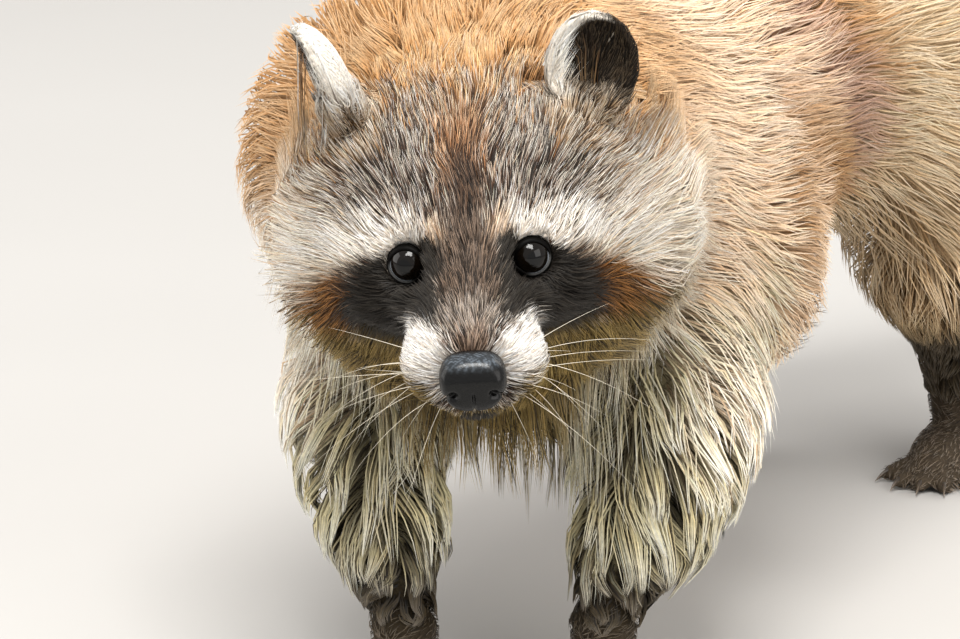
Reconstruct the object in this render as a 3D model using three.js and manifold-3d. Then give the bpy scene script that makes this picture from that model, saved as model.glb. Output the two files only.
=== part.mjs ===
// A raccoon, Procyon lotor, standing on four feet with its head lowered and turned to its left.
// It is life size, in millimetres. +Z is up, the trunk lies along Y with the head at -Y, and +X is
// the animal's left. The solids reach out to the tips of the coat.
import * as THREE from "three";
import { mergeVertices } from "three/addons/utils/BufferGeometryUtils.js";
import Module from "manifold-3d";

const wasm = await Module();
wasm.setup();

// ---------------------------------------------------------------- driving sizes
const GAP = 0.3; // left between two pieces that meet
const FINEST = 0.05; // slivers that a cut leaves below this size are merged away
const HEAD_YAW = THREE.MathUtils.degToRad(27); // turned to the animal's left
const HEAD_PITCH = THREE.MathUtils.degToRad(13); // nose down
const HEAD_ROLL = THREE.MathUtils.degToRad(-4); // left side up
const EYES_AT = vec(30, -80.6, 211); // midway between the eyes, in the body frame
const EYE_SPACING = 46;
const EYE_RADIUS = 8;
const NOSE_AT = vec(0, -57, -21.5); // centre of the nose pad, in the head frame
const NOSE_SIZE = vec(25, 15, 20.5);
const HEAD_LENGTH = 76; // from between the eyes back to the nape
const SHOULDERS = { at: vec(-26, 68, 206), yaw: THREE.MathUtils.degToRad(10) };
const HIPS = { at: vec(2, 340, 220), yaw: THREE.MathUtils.degToRad(-9) };
const BARREL_AT = vec(-17, 222, 220); // the spine bends to the left between hips and head
const RUMP_END = vec(12, 415, 204);
const ANKLE_HEIGHT = 34;
const FORE_WRISTS = { left: vec(39, 22, ANKLE_HEIGHT), right: vec(-34, -16, ANKLE_HEIGHT) };
const HIND_ANKLES = { left: vec(52, 392, ANKLE_HEIGHT), right: vec(-56, 334, ANKLE_HEIGHT) };
const SIDES = { left: 1, right: -1 };

// ---------------------------------------------------------------- small helpers
function vec(x, y, z) {
  return new THREE.Vector3(x, y, z);
}

// Turns the head frame, whose origin lies between the eyes, into the body frame.
const headFrame = new THREE.Matrix4()
  .makeTranslation(EYES_AT)
  .multiply(new THREE.Matrix4().makeRotationZ(HEAD_YAW))
  .multiply(new THREE.Matrix4().makeRotationX(HEAD_PITCH))
  .multiply(new THREE.Matrix4().makeRotationY(HEAD_ROLL));

function fromHead(x, y, z) {
  return vec(x, y, z).applyMatrix4(headFrame);
}

function headDirection(x, y, z) {
  return vec(x, y, z).transformDirection(headFrame);
}

// ---------------------------------------------------------------- fields: below 0 is inside
function ellipsoid(centre, radii) {
  return (p) => {
    const [x, y, z] = [p.x - centre.x, p.y - centre.y, p.z - centre.z];
    const near = Math.hypot(x / radii.x, y / radii.y, z / radii.z);
    const slope = Math.hypot(x / radii.x ** 2, y / radii.y ** 2, z / radii.z ** 2);
    return near < 1e-6 ? -Math.min(radii.x, radii.y, radii.z) : (near * (near - 1)) / slope;
  };
}

function taper(from, to, radiusFrom, radiusTo) {
  const line = to.clone().sub(from);
  const along = new THREE.Vector3();
  return (p) => {
    along.subVectors(p, from);
    const share = THREE.MathUtils.clamp(along.dot(line) / line.lengthSq(), 0, 1);
    return along.addScaledVector(line, -share).length() - THREE.MathUtils.lerp(radiusFrom, radiusTo, share);
  };
}

// Joins fields with a fillet about as wide as blend.
function merged(blend, ...fields) {
  return (p) => {
    let nearest = fields[0](p);
    for (const field of fields.slice(1)) {
      const other = field(p);
      const mix = Math.max(blend - Math.abs(nearest - other), 0) / blend;
      nearest = Math.min(nearest, other) - (mix * mix * blend) / 4;
    }
    return nearest;
  };
}

// A shape on the left side, and the same one on the right.
function paired(field) {
  const folded = new THREE.Vector3();
  return (p) => field(folded.set(Math.abs(p.x), p.y, p.z));
}

function grown(field, by) {
  return (p) => field(p) - by;
}

// A field written in a frame of its own, such as the head's.
function inFrame(toBody, field) {
  const fromBody = toBody.clone().invert();
  const local = new THREE.Vector3();
  return (p) => field(local.copy(p).applyMatrix4(fromBody));
}

function turnedFrame({ at, yaw }) {
  return new THREE.Matrix4().makeTranslation(at).multiply(new THREE.Matrix4().makeRotationZ(yaw));
}

// ---------------------------------------------------------------- the body's masses
const headShape = inFrame(
  headFrame,
  merged(
    12,
    ellipsoid(vec(0, 40, 5), vec(50, 50, 37)), // cranium
    taper(vec(0, 6, -9), vec(0, -42, -22.5), 26, 15), // muzzle
    paired(ellipsoid(vec(13, -33, -26), vec(15, 21, 12.5))), // whisker pads
    taper(vec(0, 20, -34), vec(0, -34, -39), 24, 10.5), // lower jaw
    paired(ellipsoid(vec(31, 14, -10), vec(23, 24, 22))), // cheekbones
    paired(ellipsoid(vec(36, 44, 14), vec(28, 27, 27))), // temples, under the ears
    paired(ellipsoid(vec(47, 43, -20), vec(42, 27, 42))), // cheek ruff
    ellipsoid(vec(0, 44, -46), vec(54, 38, 40)), // throat
  ),
);
const neckShape = merged(
  20,
  taper(SHOULDERS.at, fromHead(0, 92, -10), 84, 74),
  ellipsoid(fromHead(-4, 108, -16), vec(102, 56, 84)), // the thick coat round the neck
);
const trunkShape = merged(
  34,
  inFrame(
    turnedFrame(SHOULDERS),
    merged(
      20,
      ellipsoid(vec(0, 26, 0), vec(98, 108, 88)),
      paired(ellipsoid(vec(58, 8, -34), vec(42, 56, 64))), // shoulder blades
    ),
  ),
  ellipsoid(BARREL_AT, vec(90, 160, 80)),
  ellipsoid(vec(-2, 60, 142), vec(60, 70, 40)), // brisket
  ellipsoid(vec(42, 138, 150), vec(38, 64, 58)), // the long coat that hangs behind the elbows
  ellipsoid(vec(-84, 134, 158), vec(36, 62, 50)),
  inFrame(
    turnedFrame(HIPS),
    merged(
      20,
      ellipsoid(vec(0, -10, 0), vec(84, 92, 84)),
      paired(ellipsoid(vec(50, 2, -42), vec(40, 62, 66))), // haunches
    ),
  ),
);

const shoulderFrame = turnedFrame(SHOULDERS);
const hipFrame = turnedFrame(HIPS);

// The wet hair hangs wider on the left foreleg, which is a little further back.
const FORELEG_HAIR = {
  left: { elbow: vec(50, 62, 114), fringe: vec(53, 60, 70), radius: 43 },
  right: { elbow: vec(-72, 22, 116), fringe: vec(-56, 6, 68), radius: 35 },
};

function foreleg(side) {
  const wrist = FORE_WRISTS[side];
  const { elbow, fringe, radius } = FORELEG_HAIR[side];
  const shoulder = vec(SIDES[side] * 50, 0, -34).applyMatrix4(shoulderFrame);
  const shin = wrist.clone().lerp(elbow, 0.45);
  return {
    centres: [shoulder, wrist.clone().lerp(elbow, 0.8).setZ(110), shin, wrist],
    shape: merged(
      14,
      taper(shoulder, elbow, 46, radius),
      taper(shin, wrist, 24, 13),
      taper(wrist.clone().lerp(elbow, 0.7), shin, 34, 24),
      taper(elbow, fringe, radius - 5, 23), // long hair that hangs from the elbow
    ),
  };
}

function hindleg(side) {
  const ankle = HIND_ANKLES[side];
  const hip = vec(SIDES[side] * 42, 0, -44).applyMatrix4(hipFrame);
  const knee = ankle.clone().add(vec(SIDES[side] * 2, -44, 82));
  const hock = ankle.clone().add(vec(0, 4, 20));
  return {
    centres: [hip, knee, hock, ankle],
    shape: merged(
      16,
      taper(hip, knee, 48, 40),
      taper(knee, hock, 36, 19),
      taper(hock, ankle, 18, 16),
    ),
  };
}

// ---------------------------------------------------------------- lofts out to a field's surface
const MARCH_STEP = 3;
const BISECTIONS = 14;

function surfaceDistance(field, from, direction, reach) {
  const at = new THREE.Vector3();
  const inside = (distance) => field(at.copy(from).addScaledVector(direction, distance)) < 0;
  let low = 0;
  let high = MARCH_STEP;
  while (high < reach && inside(high)) {
    low = high;
    high += MARCH_STEP;
  }
  for (let i = 0; i < BISECTIONS; i += 1) {
    const middle = (low + high) / 2;
    if (inside(middle)) low = middle;
    else high = middle;
  }
  return low;
}

// Rings across a curve. Their planes turn from the first normal to the last, or follow the curve.
function ringsAlong(centres, count, { first, last, crowdEnd = false } = {}) {
  const curve = new THREE.CatmullRomCurve3(centres);
  return Array.from({ length: count }, (_, i) => {
    const even = i / (count - 1);
    const t = crowdEnd ? Math.sin((even * Math.PI) / 2) : even;
    const normal = curve.getTangentAt(t);
    if (first && last) normal.lerpVectors(first, last, t);
    else if (last) normal.lerp(last, t ** 4);
    return { centre: curve.getPointAt(t), normal: normal.normalize() };
  });
}

// A closed mesh with a flat face at its first ring, and a flat face or a rounded pole at its last.
// swell moves every facet out by that much, which makes a cutter that leaves a gap.
function loft(rings, segments, field, options = {}) {
  const { reach = 130, pole = false, reference = vec(0, 0, 1), swell = 0 } = options;
  const positions = [];
  for (const { centre, normal } of rings) {
    const side = new THREE.Vector3().crossVectors(reference, normal).normalize();
    const up = new THREE.Vector3().crossVectors(normal, side);
    for (let j = 0; j < segments; j += 1) {
      const angle = (2 * Math.PI * j) / segments;
      const out = side.clone().multiplyScalar(Math.cos(angle)).addScaledVector(up, Math.sin(angle));
      const distance = surfaceDistance(field, centre, out, reach) + swell;
      positions.push(...out.multiplyScalar(distance).add(centre).toArray());
    }
  }
  const end = rings.at(-1);
  const tip = pole ? surfaceDistance(field, end.centre, end.normal, reach) + swell : 0;
  positions.push(...rings[0].centre.toArray());
  positions.push(...end.centre.clone().addScaledVector(end.normal, tip).toArray());

  const firstCap = rings.length * segments;
  const index = [];
  for (let j = 0; j < segments; j += 1) {
    const next = (j + 1) % segments;
    index.push(firstCap, next, j);
    for (let i = 0; i < rings.length - 1; i += 1) {
      const [a, b] = [i * segments + j, i * segments + next];
      index.push(a, b, b + segments, a, b + segments, a + segments);
    }
    const lastRow = (rings.length - 1) * segments;
    index.push(firstCap + 1, lastRow + j, lastRow + next);
  }
  const geometry = new THREE.BufferGeometry();
  geometry.setAttribute("position", new THREE.Float32BufferAttribute(positions, 3));
  geometry.setIndex(index);
  return geometry;
}

// ---------------------------------------------------------------- solids
function solid(geometry) {
  const bare = geometry.clone();
  bare.deleteAttribute("normal");
  bare.deleteAttribute("uv");
  const welded = mergeVertices(bare, 1e-4);
  const build = (triVerts) =>
    new wasm.Manifold(
      new wasm.Mesh({ numProp: 3, vertProperties: welded.attributes.position.array, triVerts }),
    );
  const made = build(new Uint32Array(welded.index.array));
  return made.volume() > 0 ? made : build(new Uint32Array(welded.index.array).reverse());
}

function geometryOf(made) {
  const mesh = made.getMesh();
  const geometry = new THREE.BufferGeometry();
  geometry.setAttribute("position", new THREE.Float32BufferAttribute(mesh.vertProperties, 3));
  geometry.setIndex(new THREE.BufferAttribute(mesh.triVerts, 1));
  return geometry;
}

function ball(centre, radii, around = 12, rings = 8) {
  const geometry = new THREE.SphereGeometry(1, around, rings);
  return geometry.scale(radii.x, radii.y, radii.z).translate(centre.x, centre.y, centre.z);
}

// A solid of revolution about the line from one point towards another.
function turned(profile, sides, from, to) {
  const direction = to.clone().sub(from).normalize();
  const turn = new THREE.Quaternion().setFromUnitVectors(vec(0, 1, 0), direction);
  return new THREE.LatheGeometry(profile.map(([r, h]) => new THREE.Vector2(r, h)), sides)
    .applyQuaternion(turn)
    .translate(from.x, from.y, from.z);
}

// A round-ended limb that narrows from one point to another.
function limb(from, to, radiusFrom, radiusTo, sides = 10) {
  const length = from.distanceTo(to);
  const profile = [
    [0, -radiusFrom],
    [radiusFrom * 0.8, -radiusFrom * 0.6],
    [radiusFrom, 0],
    [radiusTo, length],
    [radiusTo * 0.8, length + radiusTo * 0.6],
    [0, length + radiusTo],
  ];
  return turned(profile, sides, from, to);
}

function unionOf(geometries) {
  return geometries.map(solid).reduce((all, next) => all.add(next));
}

// ---------------------------------------------------------------- paws
const TOE_SPREAD = [-34, -16, 0, 16, 34].map(THREE.MathUtils.degToRad);
const TOE_SHARE = [0.78, 0.96, 1, 0.96, 0.78]; // of the longest toe
const TOE_RADIUS = 4.8;
const CLAW_LENGTH = 9;
const PAWS = {
  fore: { palm: vec(17, 17, 11), back: 2, toe: 25, knuckle: 9, turn: 0.16 },
  hind: { palm: vec(16, 36, 11), back: 14, toe: 20, knuckle: 7, turn: 0.1 },
};

function floorBlock(top) {
  return solid(new THREE.BoxGeometry(2000, 2000, top).translate(0, 0, top / 2));
}

// A toe that ends in its claw, from the knuckle down to the floor.
function toe(root, ahead, length) {
  const tip = root.clone().addScaledVector(ahead, length).setZ(TOE_RADIUS - 1);
  const reach = root.distanceTo(tip);
  const profile = [
    [0, -TOE_RADIUS],
    [TOE_RADIUS, 0],
    [TOE_RADIUS * 0.94, reach],
    [TOE_RADIUS * 0.4, reach + TOE_RADIUS * 0.7],
    [0, reach + CLAW_LENGTH],
  ];
  return turned(profile, 5, root, tip);
}

// A paw with five toes and their claws, cut flat where it meets the floor and the leg.
function paw(kind, side, ankle) {
  const { palm, back, toe: toeLength, knuckle, turn } = PAWS[kind];
  const heel = vec(0, -back, palm.z * 0.82);
  const front = -back - palm.y * 0.72;
  const pieces = [
    ball(heel, palm, 10, 6),
    limb(vec(0, 3, heel.z), vec(0, 0, ANKLE_HEIGHT + 6), 12, 15, 8),
  ];
  TOE_SPREAD.forEach((angle, i) => {
    const outermost = i === 0 || i === TOE_SPREAD.length - 1;
    const ahead = vec(Math.sin(angle), -Math.cos(angle), 0);
    const root = vec(palm.x * 0.78 * Math.sin(angle * 1.6), front + (outermost ? 5 : 0), knuckle);
    pieces.push(toe(root, ahead, toeLength * TOE_SHARE[i]));
  });
  const place = (geometry) =>
    geometry.rotateZ(SIDES[side] * turn).translate(ankle.x, ankle.y, 0);
  return unionOf(pieces.map(place)).intersect(floorBlock(ANKLE_HEIGHT - GAP / 2));
}

// ---------------------------------------------------------------- head pieces
const EAR = { height: 22.5, width: 18.5, depth: 9.5, wall: 3.2 };
const EARS = {
  left: { at: vec(51, 47, 55.5), lean: 0.2, turn: -0.12, back: -0.2 },
  right: { at: vec(-53, 47, 59), lean: -0.42, turn: -1.25, back: -0.26 },
};

// A cupped ear, set into the head by its lower end.
function ear(side, headCutter) {
  const { at, lean, turn, back } = EARS[side];
  const outer = solid(ball(vec(0, 0, 0), vec(EAR.width, EAR.depth, EAR.height), 14, 9));
  const hollow = solid(
    ball(
      vec(0, -EAR.depth * 0.72, 1),
      vec(EAR.width - EAR.wall * 0.7, EAR.depth * 1.25, EAR.height - EAR.wall * 0.8),
      14,
      9,
    ),
  );
  const root = solid(limb(vec(0, 5, -EAR.height * 0.66), vec(0, 3, -EAR.height * 1.35), 5, 7, 8));
  const placed = new THREE.Matrix4()
    .copy(headFrame)
    .multiply(new THREE.Matrix4().makeTranslation(at))
    .multiply(new THREE.Matrix4().makeRotationFromEuler(new THREE.Euler(back, lean, turn, "YXZ")));
  const cup = outer.subtract(hollow).add(root);
  return solid(geometryOf(cup).applyMatrix4(placed)).subtract(headCutter);
}

function eyeCentre(side) {
  return vec((SIDES[side] * EYE_SPACING) / 2, 0.5, 0);
}

// The eyeball's socket, with a dish in front of it for the lids.
function socket(side) {
  const centre = eyeCentre(side);
  const dish = centre.clone().add(vec(SIDES[side] * 2.5, -10.5, 5));
  const room = EYE_RADIUS + GAP * 2;
  return unionOf([
    ball(centre, vec(room, room, room), 12, 8),
    ball(dish, vec(10, 8.5, 9.5), 10, 7),
  ]);
}

// A rounded pad, broad above and narrow below, with a nostril at each side.
function nosePad(by = 0) {
  const pad = new THREE.SphereGeometry(1, 14, 9);
  const spot = pad.attributes.position;
  for (let i = 0; i < spot.count; i += 1) {
    const square = [spot.getX(i), spot.getY(i), spot.getZ(i)].map(
      (c) => Math.sign(c) * Math.abs(c) ** 0.86,
    );
    const narrow = 1 - 0.16 * Math.max(-square[2], 0) - 0.1 * Math.max(square[2], 0);
    spot.setXYZ(i, square[0] * narrow, square[1], square[2]);
  }
  pad.scale(NOSE_SIZE.x / 2 + by, NOSE_SIZE.y / 2 + by, NOSE_SIZE.z / 2 + by);
  return pad.translate(NOSE_AT.x, NOSE_AT.y, NOSE_AT.z);
}

function nostril(side) {
  const at = NOSE_AT.clone().add(vec(SIDES[side] * 7.5, -6.2, 0.5));
  return ball(at, vec(2.6, 3, 2.2), 7, 5);
}

// ---------------------------------------------------------------- materials and nodes
function finish(colour, roughness = 0.85) {
  return new THREE.MeshStandardMaterial({ color: colour, roughness, metalness: 0 });
}

const finishes = {
  grizzled: finish(0x8c7a68),
  russet: finish(0xb98a5e),
  buff: finish(0xa98d6d),
  ringed: finish(0x9a8468),
  dusky: finish(0x4a3f38),
  pale: finish(0xd8cfc0),
  eye: finish(0x120c08, 0.08),
  noseLeather: finish(0x151416, 0.35),
};

const raccoon = new THREE.Group();

function place(name, made, material) {
  const mesh = new THREE.Mesh(geometryOf(made.simplify(FINEST)), material);
  mesh.name = name;
  raccoon.add(mesh);
}

// ---------------------------------------------------------------- head, neck, trunk and tail
const headAxis = headDirection(0, 1, 0);
const headEnd = fromHead(0, HEAD_LENGTH, -6);
const neckAxis = vec(-0.27, 0.96, 0.02).normalize();
const rumpAxis = vec(0.16, 0.98, 0.05).normalize();
const neckEnd = SHOULDERS.at.clone();
const headField = merged(16, headShape, neckShape);
const neckField = merged(20, headShape, neckShape, trunkShape);
const bodyField = merged(20, trunkShape, neckShape);

function headSolid(swell) {
  const front = headAxis.clone().negate();
  const centres = [
    headEnd.clone().addScaledVector(headAxis, swell - GAP / 2),
    fromHead(0, 30, -12),
    fromHead(0, -10, -18),
    fromHead(0, -50, -23),
  ];
  const rings = ringsAlong(centres, 24, { first: front, last: front, crowdEnd: true });
  return solid(loft(rings, 30, headField, { swell, pole: true }));
}

function neckSolid(swell) {
  const centres = [
    headEnd.clone().addScaledVector(headAxis, GAP / 2 - swell),
    neckEnd.clone().addScaledVector(neckAxis, swell - GAP / 2),
  ];
  const rings = ringsAlong(centres, 8, { first: headAxis, last: neckAxis });
  return solid(loft(rings, 26, neckField, { swell }));
}

function trunkSolid(swell) {
  const centres = [
    neckEnd.clone().addScaledVector(neckAxis, GAP / 2 - swell),
    BARREL_AT,
    HIPS.at,
    RUMP_END,
  ];
  const rings = ringsAlong(centres, 20, { first: neckAxis, last: rumpAxis, crowdEnd: true });
  return solid(loft(rings, 26, bodyField, { swell, pole: true }));
}

// A body piece and the gap all round it, for cutting its neighbours to fit.
function cleared(piece) {
  return piece(0).add(piece(GAP));
}

const TAIL_CENTRES = [
  vec(10, 386, 228),
  vec(20, 436, 214),
  vec(36, 488, 172),
  vec(56, 540, 130),
  vec(78, 590, 104),
  vec(98, 632, 96),
];
const TAIL_RADII = [26, 32, 37, 39, 35, 23];

function tailSolid() {
  const stretches = TAIL_CENTRES.slice(1).map((centre, i) =>
    taper(TAIL_CENTRES[i], centre, TAIL_RADII[i], TAIL_RADII[i + 1]),
  );
  const tip = TAIL_CENTRES.at(-1).clone().lerp(TAIL_CENTRES.at(-2), -0.42);
  const rings = ringsAlong([...TAIL_CENTRES, tip], 18, { crowdEnd: true });
  return solid(loft(rings, 14, merged(10, ...stretches), { pole: true }));
}

function legSolid({ centres, shape }) {
  const foot = centres.at(-1);
  const ends = [...centres.slice(0, -1), foot.clone().add(vec(0, 0, GAP / 2))];
  const down = vec(0, 0, -1); // level rings, so that no two of them cross
  const rings = ringsAlong(ends, 12, { first: down, last: down });
  return solid(loft(rings, 12, shape, { reference: vec(0, -1, 0) }));
}

const eyes = {};
const sockets = Object.keys(SIDES).map((side) => {
  eyes[side] = solid(ball(eyeCentre(side), vec(1, 1, 1).multiplyScalar(EYE_RADIUS), 12, 9));
  return socket(side);
});
const padHole = solid(nosePad(GAP));
const faceCuts = solid(
  geometryOf(sockets.reduce((all, next) => all.add(next), padHole)).applyMatrix4(headFrame),
);
place("head", headSolid(0).subtract(faceCuts), finishes.grizzled);
place("neck", neckSolid(0), finishes.russet);
place("trunk", trunkSolid(0), finishes.russet);
place("tail", tailSolid().subtract(cleared(trunkSolid)), finishes.ringed);

const nostrils = unionOf(Object.keys(SIDES).map(nostril));
const pad = solid(nosePad()).subtract(nostrils);
place("nose", solid(geometryOf(pad).applyMatrix4(headFrame)), finishes.noseLeather);

const headCutter = cleared(headSolid);
const upperBody = cleared(trunkSolid).add(cleared(neckSolid)).add(headCutter);
for (const side of Object.keys(SIDES)) {
  place(`eye_${side}`, solid(geometryOf(eyes[side]).applyMatrix4(headFrame)), finishes.eye);
  place(`ear_${side}`, ear(side, headCutter), finishes.pale);
  place(`foreleg_${side}`, legSolid(foreleg(side)).subtract(upperBody), finishes.buff);
  place(`hindleg_${side}`, legSolid(hindleg(side)).subtract(upperBody), finishes.buff);
  place(`forepaw_${side}`, paw("fore", side, FORE_WRISTS[side]), finishes.dusky);
  place(`hindpaw_${side}`, paw("hind", side, HIND_ANKLES[side]), finishes.dusky);
}

// The origin is on the floor, under the middle of the whole animal.
const middle = new THREE.Box3().setFromObject(raccoon).getCenter(new THREE.Vector3());
raccoon.position.set(-middle.x, -middle.y, 0);

export default raccoon;
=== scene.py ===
"""A raccoon on all fours, life size, with a coat of solid tufts over one skin."""

from __future__ import annotations

import logging
import math
from dataclasses import dataclass, field
from enum import Enum

import bmesh
import bpy
import numpy as np
import openvdb
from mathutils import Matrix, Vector
from mathutils.bvhtree import BVHTree

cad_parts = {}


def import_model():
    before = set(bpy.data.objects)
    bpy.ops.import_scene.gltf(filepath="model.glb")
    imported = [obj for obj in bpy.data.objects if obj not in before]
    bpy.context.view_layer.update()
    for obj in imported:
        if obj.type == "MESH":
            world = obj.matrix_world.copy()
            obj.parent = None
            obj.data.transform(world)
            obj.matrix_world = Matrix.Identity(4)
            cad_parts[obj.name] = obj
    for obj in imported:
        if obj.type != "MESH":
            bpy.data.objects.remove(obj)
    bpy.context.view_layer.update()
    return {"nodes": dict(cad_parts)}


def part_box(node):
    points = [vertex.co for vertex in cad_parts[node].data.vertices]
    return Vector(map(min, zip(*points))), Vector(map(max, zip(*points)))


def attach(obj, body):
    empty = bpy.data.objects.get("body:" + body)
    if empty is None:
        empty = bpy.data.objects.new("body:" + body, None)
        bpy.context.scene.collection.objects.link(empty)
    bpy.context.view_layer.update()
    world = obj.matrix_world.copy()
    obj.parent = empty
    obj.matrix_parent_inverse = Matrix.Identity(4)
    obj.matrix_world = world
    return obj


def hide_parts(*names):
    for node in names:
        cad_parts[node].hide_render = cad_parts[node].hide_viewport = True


Array = np.ndarray
Piece = bpy.types.Object
LOG = logging.getLogger("raccoon")
MM = 0.001
BODY = "root"
COLOUR_MAP = "Coat colour"
BAKE_MAP = "OFBake"
PIECE_LIMIT = 190_000
FULL_TURN = 2.0 * math.pi
PHASES = 6.28


# ---- small sums
def ramp(value: Array, start: float, end: float) -> Array:
    """Return a smooth step from 0 at start to 1 at end."""
    share = np.clip((value - start) / (end - start), 0.0, 1.0)
    return share * share * (3.0 - 2.0 * share)


def unit(vectors: Array) -> Array:
    """Return the vectors with length one."""
    return vectors / np.maximum(np.linalg.norm(vectors, axis=-1, keepdims=True), 1e-9)


def span(vectors: Array) -> Array:
    """Return the vectors' lengths."""
    return np.linalg.norm(vectors, axis=-1)


def mix(first: Array, second: Array, share: Array) -> Array:
    """Return first turned into second by share, which is 0 to 1."""
    return first + (second - first) * share


def shade(text: str) -> Array:
    """Return a hex colour, as on a paint card, as linear red, green and blue."""
    coded = np.array([int(text[i : i + 2], 16) for i in (0, 2, 4)]) / 255.0
    return np.where(coded <= 0.04045, coded / 12.92, ((coded + 0.055) / 1.055) ** 2.4)


def tint(under: Array | str, colour: str, cover: Array) -> Array:
    """Return colours with another laid over them where cover is 1."""
    under = shade(under)[None] if isinstance(under, str) else under
    return mix(under, shade(colour)[None], cover[:, None])


def round_turn(count: int) -> Array:
    """Return evenly spaced angles round a full turn."""
    return np.linspace(0.0, FULL_TURN, count, endpoint=False)


def ripple(points: Array, wave: float, seed: int) -> Array:
    """Return a smooth noise about -1 to 1 at each point.

    Args:
        points: Places in millimetres.
        wave: The length of its waves in millimetres.
        seed: Chooses the noise.

    Returns:
        One value for each point.
    """
    draw = np.random.default_rng(seed)
    total = np.zeros(len(points))
    for _ in range(7):
        way = unit(draw.normal(size=3)) * (FULL_TURN / wave) * draw.uniform(0.7, 1.5)
        total += np.sin(points @ way + draw.uniform(0.0, PHASES))
    return total / 2.6


# ---- distance fields
def whole_steps(values: Array) -> tuple[int, ...]:
    """Return numbers of steps as plain whole numbers."""
    return tuple(int(value) for value in values)


def read(items: object, name: str, width: int, kind: type = np.float32) -> Array:
    """Return one value of everything in a mesh's list.

    Args:
        items: The mesh's points, triangles or places on a map.
        name: Which value is read.
        width: How many numbers it has.
        kind: The kind of number.

    Returns:
        One row for each.
    """
    values = np.empty(len(items) * width, kind)
    items.foreach_get(name, values)
    return values.reshape(-1, width)


@dataclass
class Block:
    """Values on a regular block of points, read in between.

    Attributes:
        low: The block's lowest corner, in steps.
        step: The distance between two points in millimetres.
        values: The values.
    """

    low: Array
    step: float
    values: Array

    def at(self, points: Array) -> Array:
        """Return the value at each point, in millimetres.

        Args:
            points: Places in millimetres, one in each row.

        Returns:
            One number for each place.
        """
        limit = np.array(self.values.shape[:3]) - 1.001
        place = np.clip(points / self.step - self.low, 0.0, limit)
        cell = place.astype(np.int64)
        part = place - cell
        _, rows, columns = self.values.shape[:3]
        flat = self.values.reshape(-1, *self.values.shape[3:])
        first = (cell[:, 0] * rows + cell[:, 1]) * columns + cell[:, 2]
        total = 0.0
        for offset in np.ndindex(2, 2, 2):
            weight = np.prod(np.where(offset, part, 1.0 - part), axis=1)
            found = flat[first + (offset[0] * rows + offset[1]) * columns + offset[2]]
            total = total + found * (weight if found.ndim == 1 else weight[:, None])
        return total

    def slope(self, points: Array, reach: float) -> Array:
        """Return the outward direction at each point, from differences over reach.

        Args:
            points: Places in millimetres, one in each row.
            reach: How far out the differences are taken, in millimetres.

        Returns:
            One unit direction for each place.
        """
        sides = []
        for axis in range(3):
            shift = np.zeros(3)
            shift[axis] = reach
            sides.append(self.at(points + shift) - self.at(points - shift))
        return unit(np.stack(sides, axis=1))

    def places(self) -> Array:
        """Return every point of the block in millimetres, as a list."""
        axes = [(np.arange(n) + low) * self.step for n, low in zip(self.values.shape, self.low)]
        return np.stack(np.meshgrid(*axes, indexing="ij"), axis=-1).reshape(-1, 3)


@dataclass
class Soup:
    """Points and faces, in millimetres."""

    points: Array
    faces: Array

    @staticmethod
    def of(node: Piece) -> Soup:
        """Return a node's mesh with its doubled points merged."""
        mesh = node.data
        mesh.calc_loop_triangles()
        points = read(mesh.vertices, "co", 3) / MM
        faces = read(mesh.loop_triangles, "vertices", 3, np.int32)
        code = np.round(points * 100.0).astype(np.int64)
        _, first, same = np.unique(code, axis=0, return_index=True, return_inverse=True)
        return Soup(points[first], same.reshape(-1)[faces])

    @staticmethod
    def joined(parts: list[Soup]) -> Soup:
        """Return several soups with faces of one kind as one."""
        shifts = np.cumsum([0] + [len(part.points) for part in parts[:-1]])
        faces = [part.faces + shift for part, shift in zip(parts, shifts)]
        return Soup(np.vstack([part.points for part in parts]), np.vstack(faces))

    def field(self, step: float, band: float) -> openvdb.FloatGrid:
        """Return the distance to the surface, kept out to band steps on both sides."""
        kind = "triangles" if self.faces.shape[1] == 3 else "quads"
        return openvdb.FloatGrid.createLevelSetFromPolygons(
            self.points.astype(np.float32),
            transform=openvdb.createLinearTransform(step),
            halfWidth=band,
            **{kind: self.faces.astype(np.uint32)},
        )


def filled(field_grid: openvdb.FloatGrid, low: Array, high: Array, step: float) -> Block:
    """Return the part of a grid between two corners, in millimetres, as a block.

    Args:
        field_grid: The grid that is read.
        low: The lower corner.
        high: The upper corner.
        step: The size of the grid's cells, in millimetres.

    Returns:
        The block of the grid's values.
    """
    first = np.floor(low / step).astype(int)
    values = np.zeros(tuple(np.ceil(high / step).astype(int) - first + 1), np.float32)
    field_grid.copyToArray(values, ijk=whole_steps(first))
    return Block(first, step, values)


def surface(field_grid: openvdb.FloatGrid, level: float = 0.0) -> Soup:
    """Return where a grid's value is level, as four-sided faces that point outwards."""
    points, quads = field_grid.convertToQuads(isovalue=level)
    return Soup(points.astype(np.float64), quads[:, ::-1].astype(np.int64))


def grid_of(block: Block, outside: float) -> openvdb.FloatGrid:
    """Return a block as a grid whose value beyond it is outside.

    Args:
        block: The block of values.
        outside: The value beyond the block.

    Returns:
        The grid, in the block's own place.
    """
    made = openvdb.FloatGrid(outside)
    made.copyFromArray(block.values.astype(np.float32), ijk=whole_steps(block.low))
    made.transform = openvdb.createLinearTransform(block.step)
    return made


# ---- the head's own frame
NOSE_OFF = (57.5, 21.5)
EYE_ASIDE = 23.0
EYE_BACK = 0.5
FACE_UP = 0.875
FACE_BACK = 0.485


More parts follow.
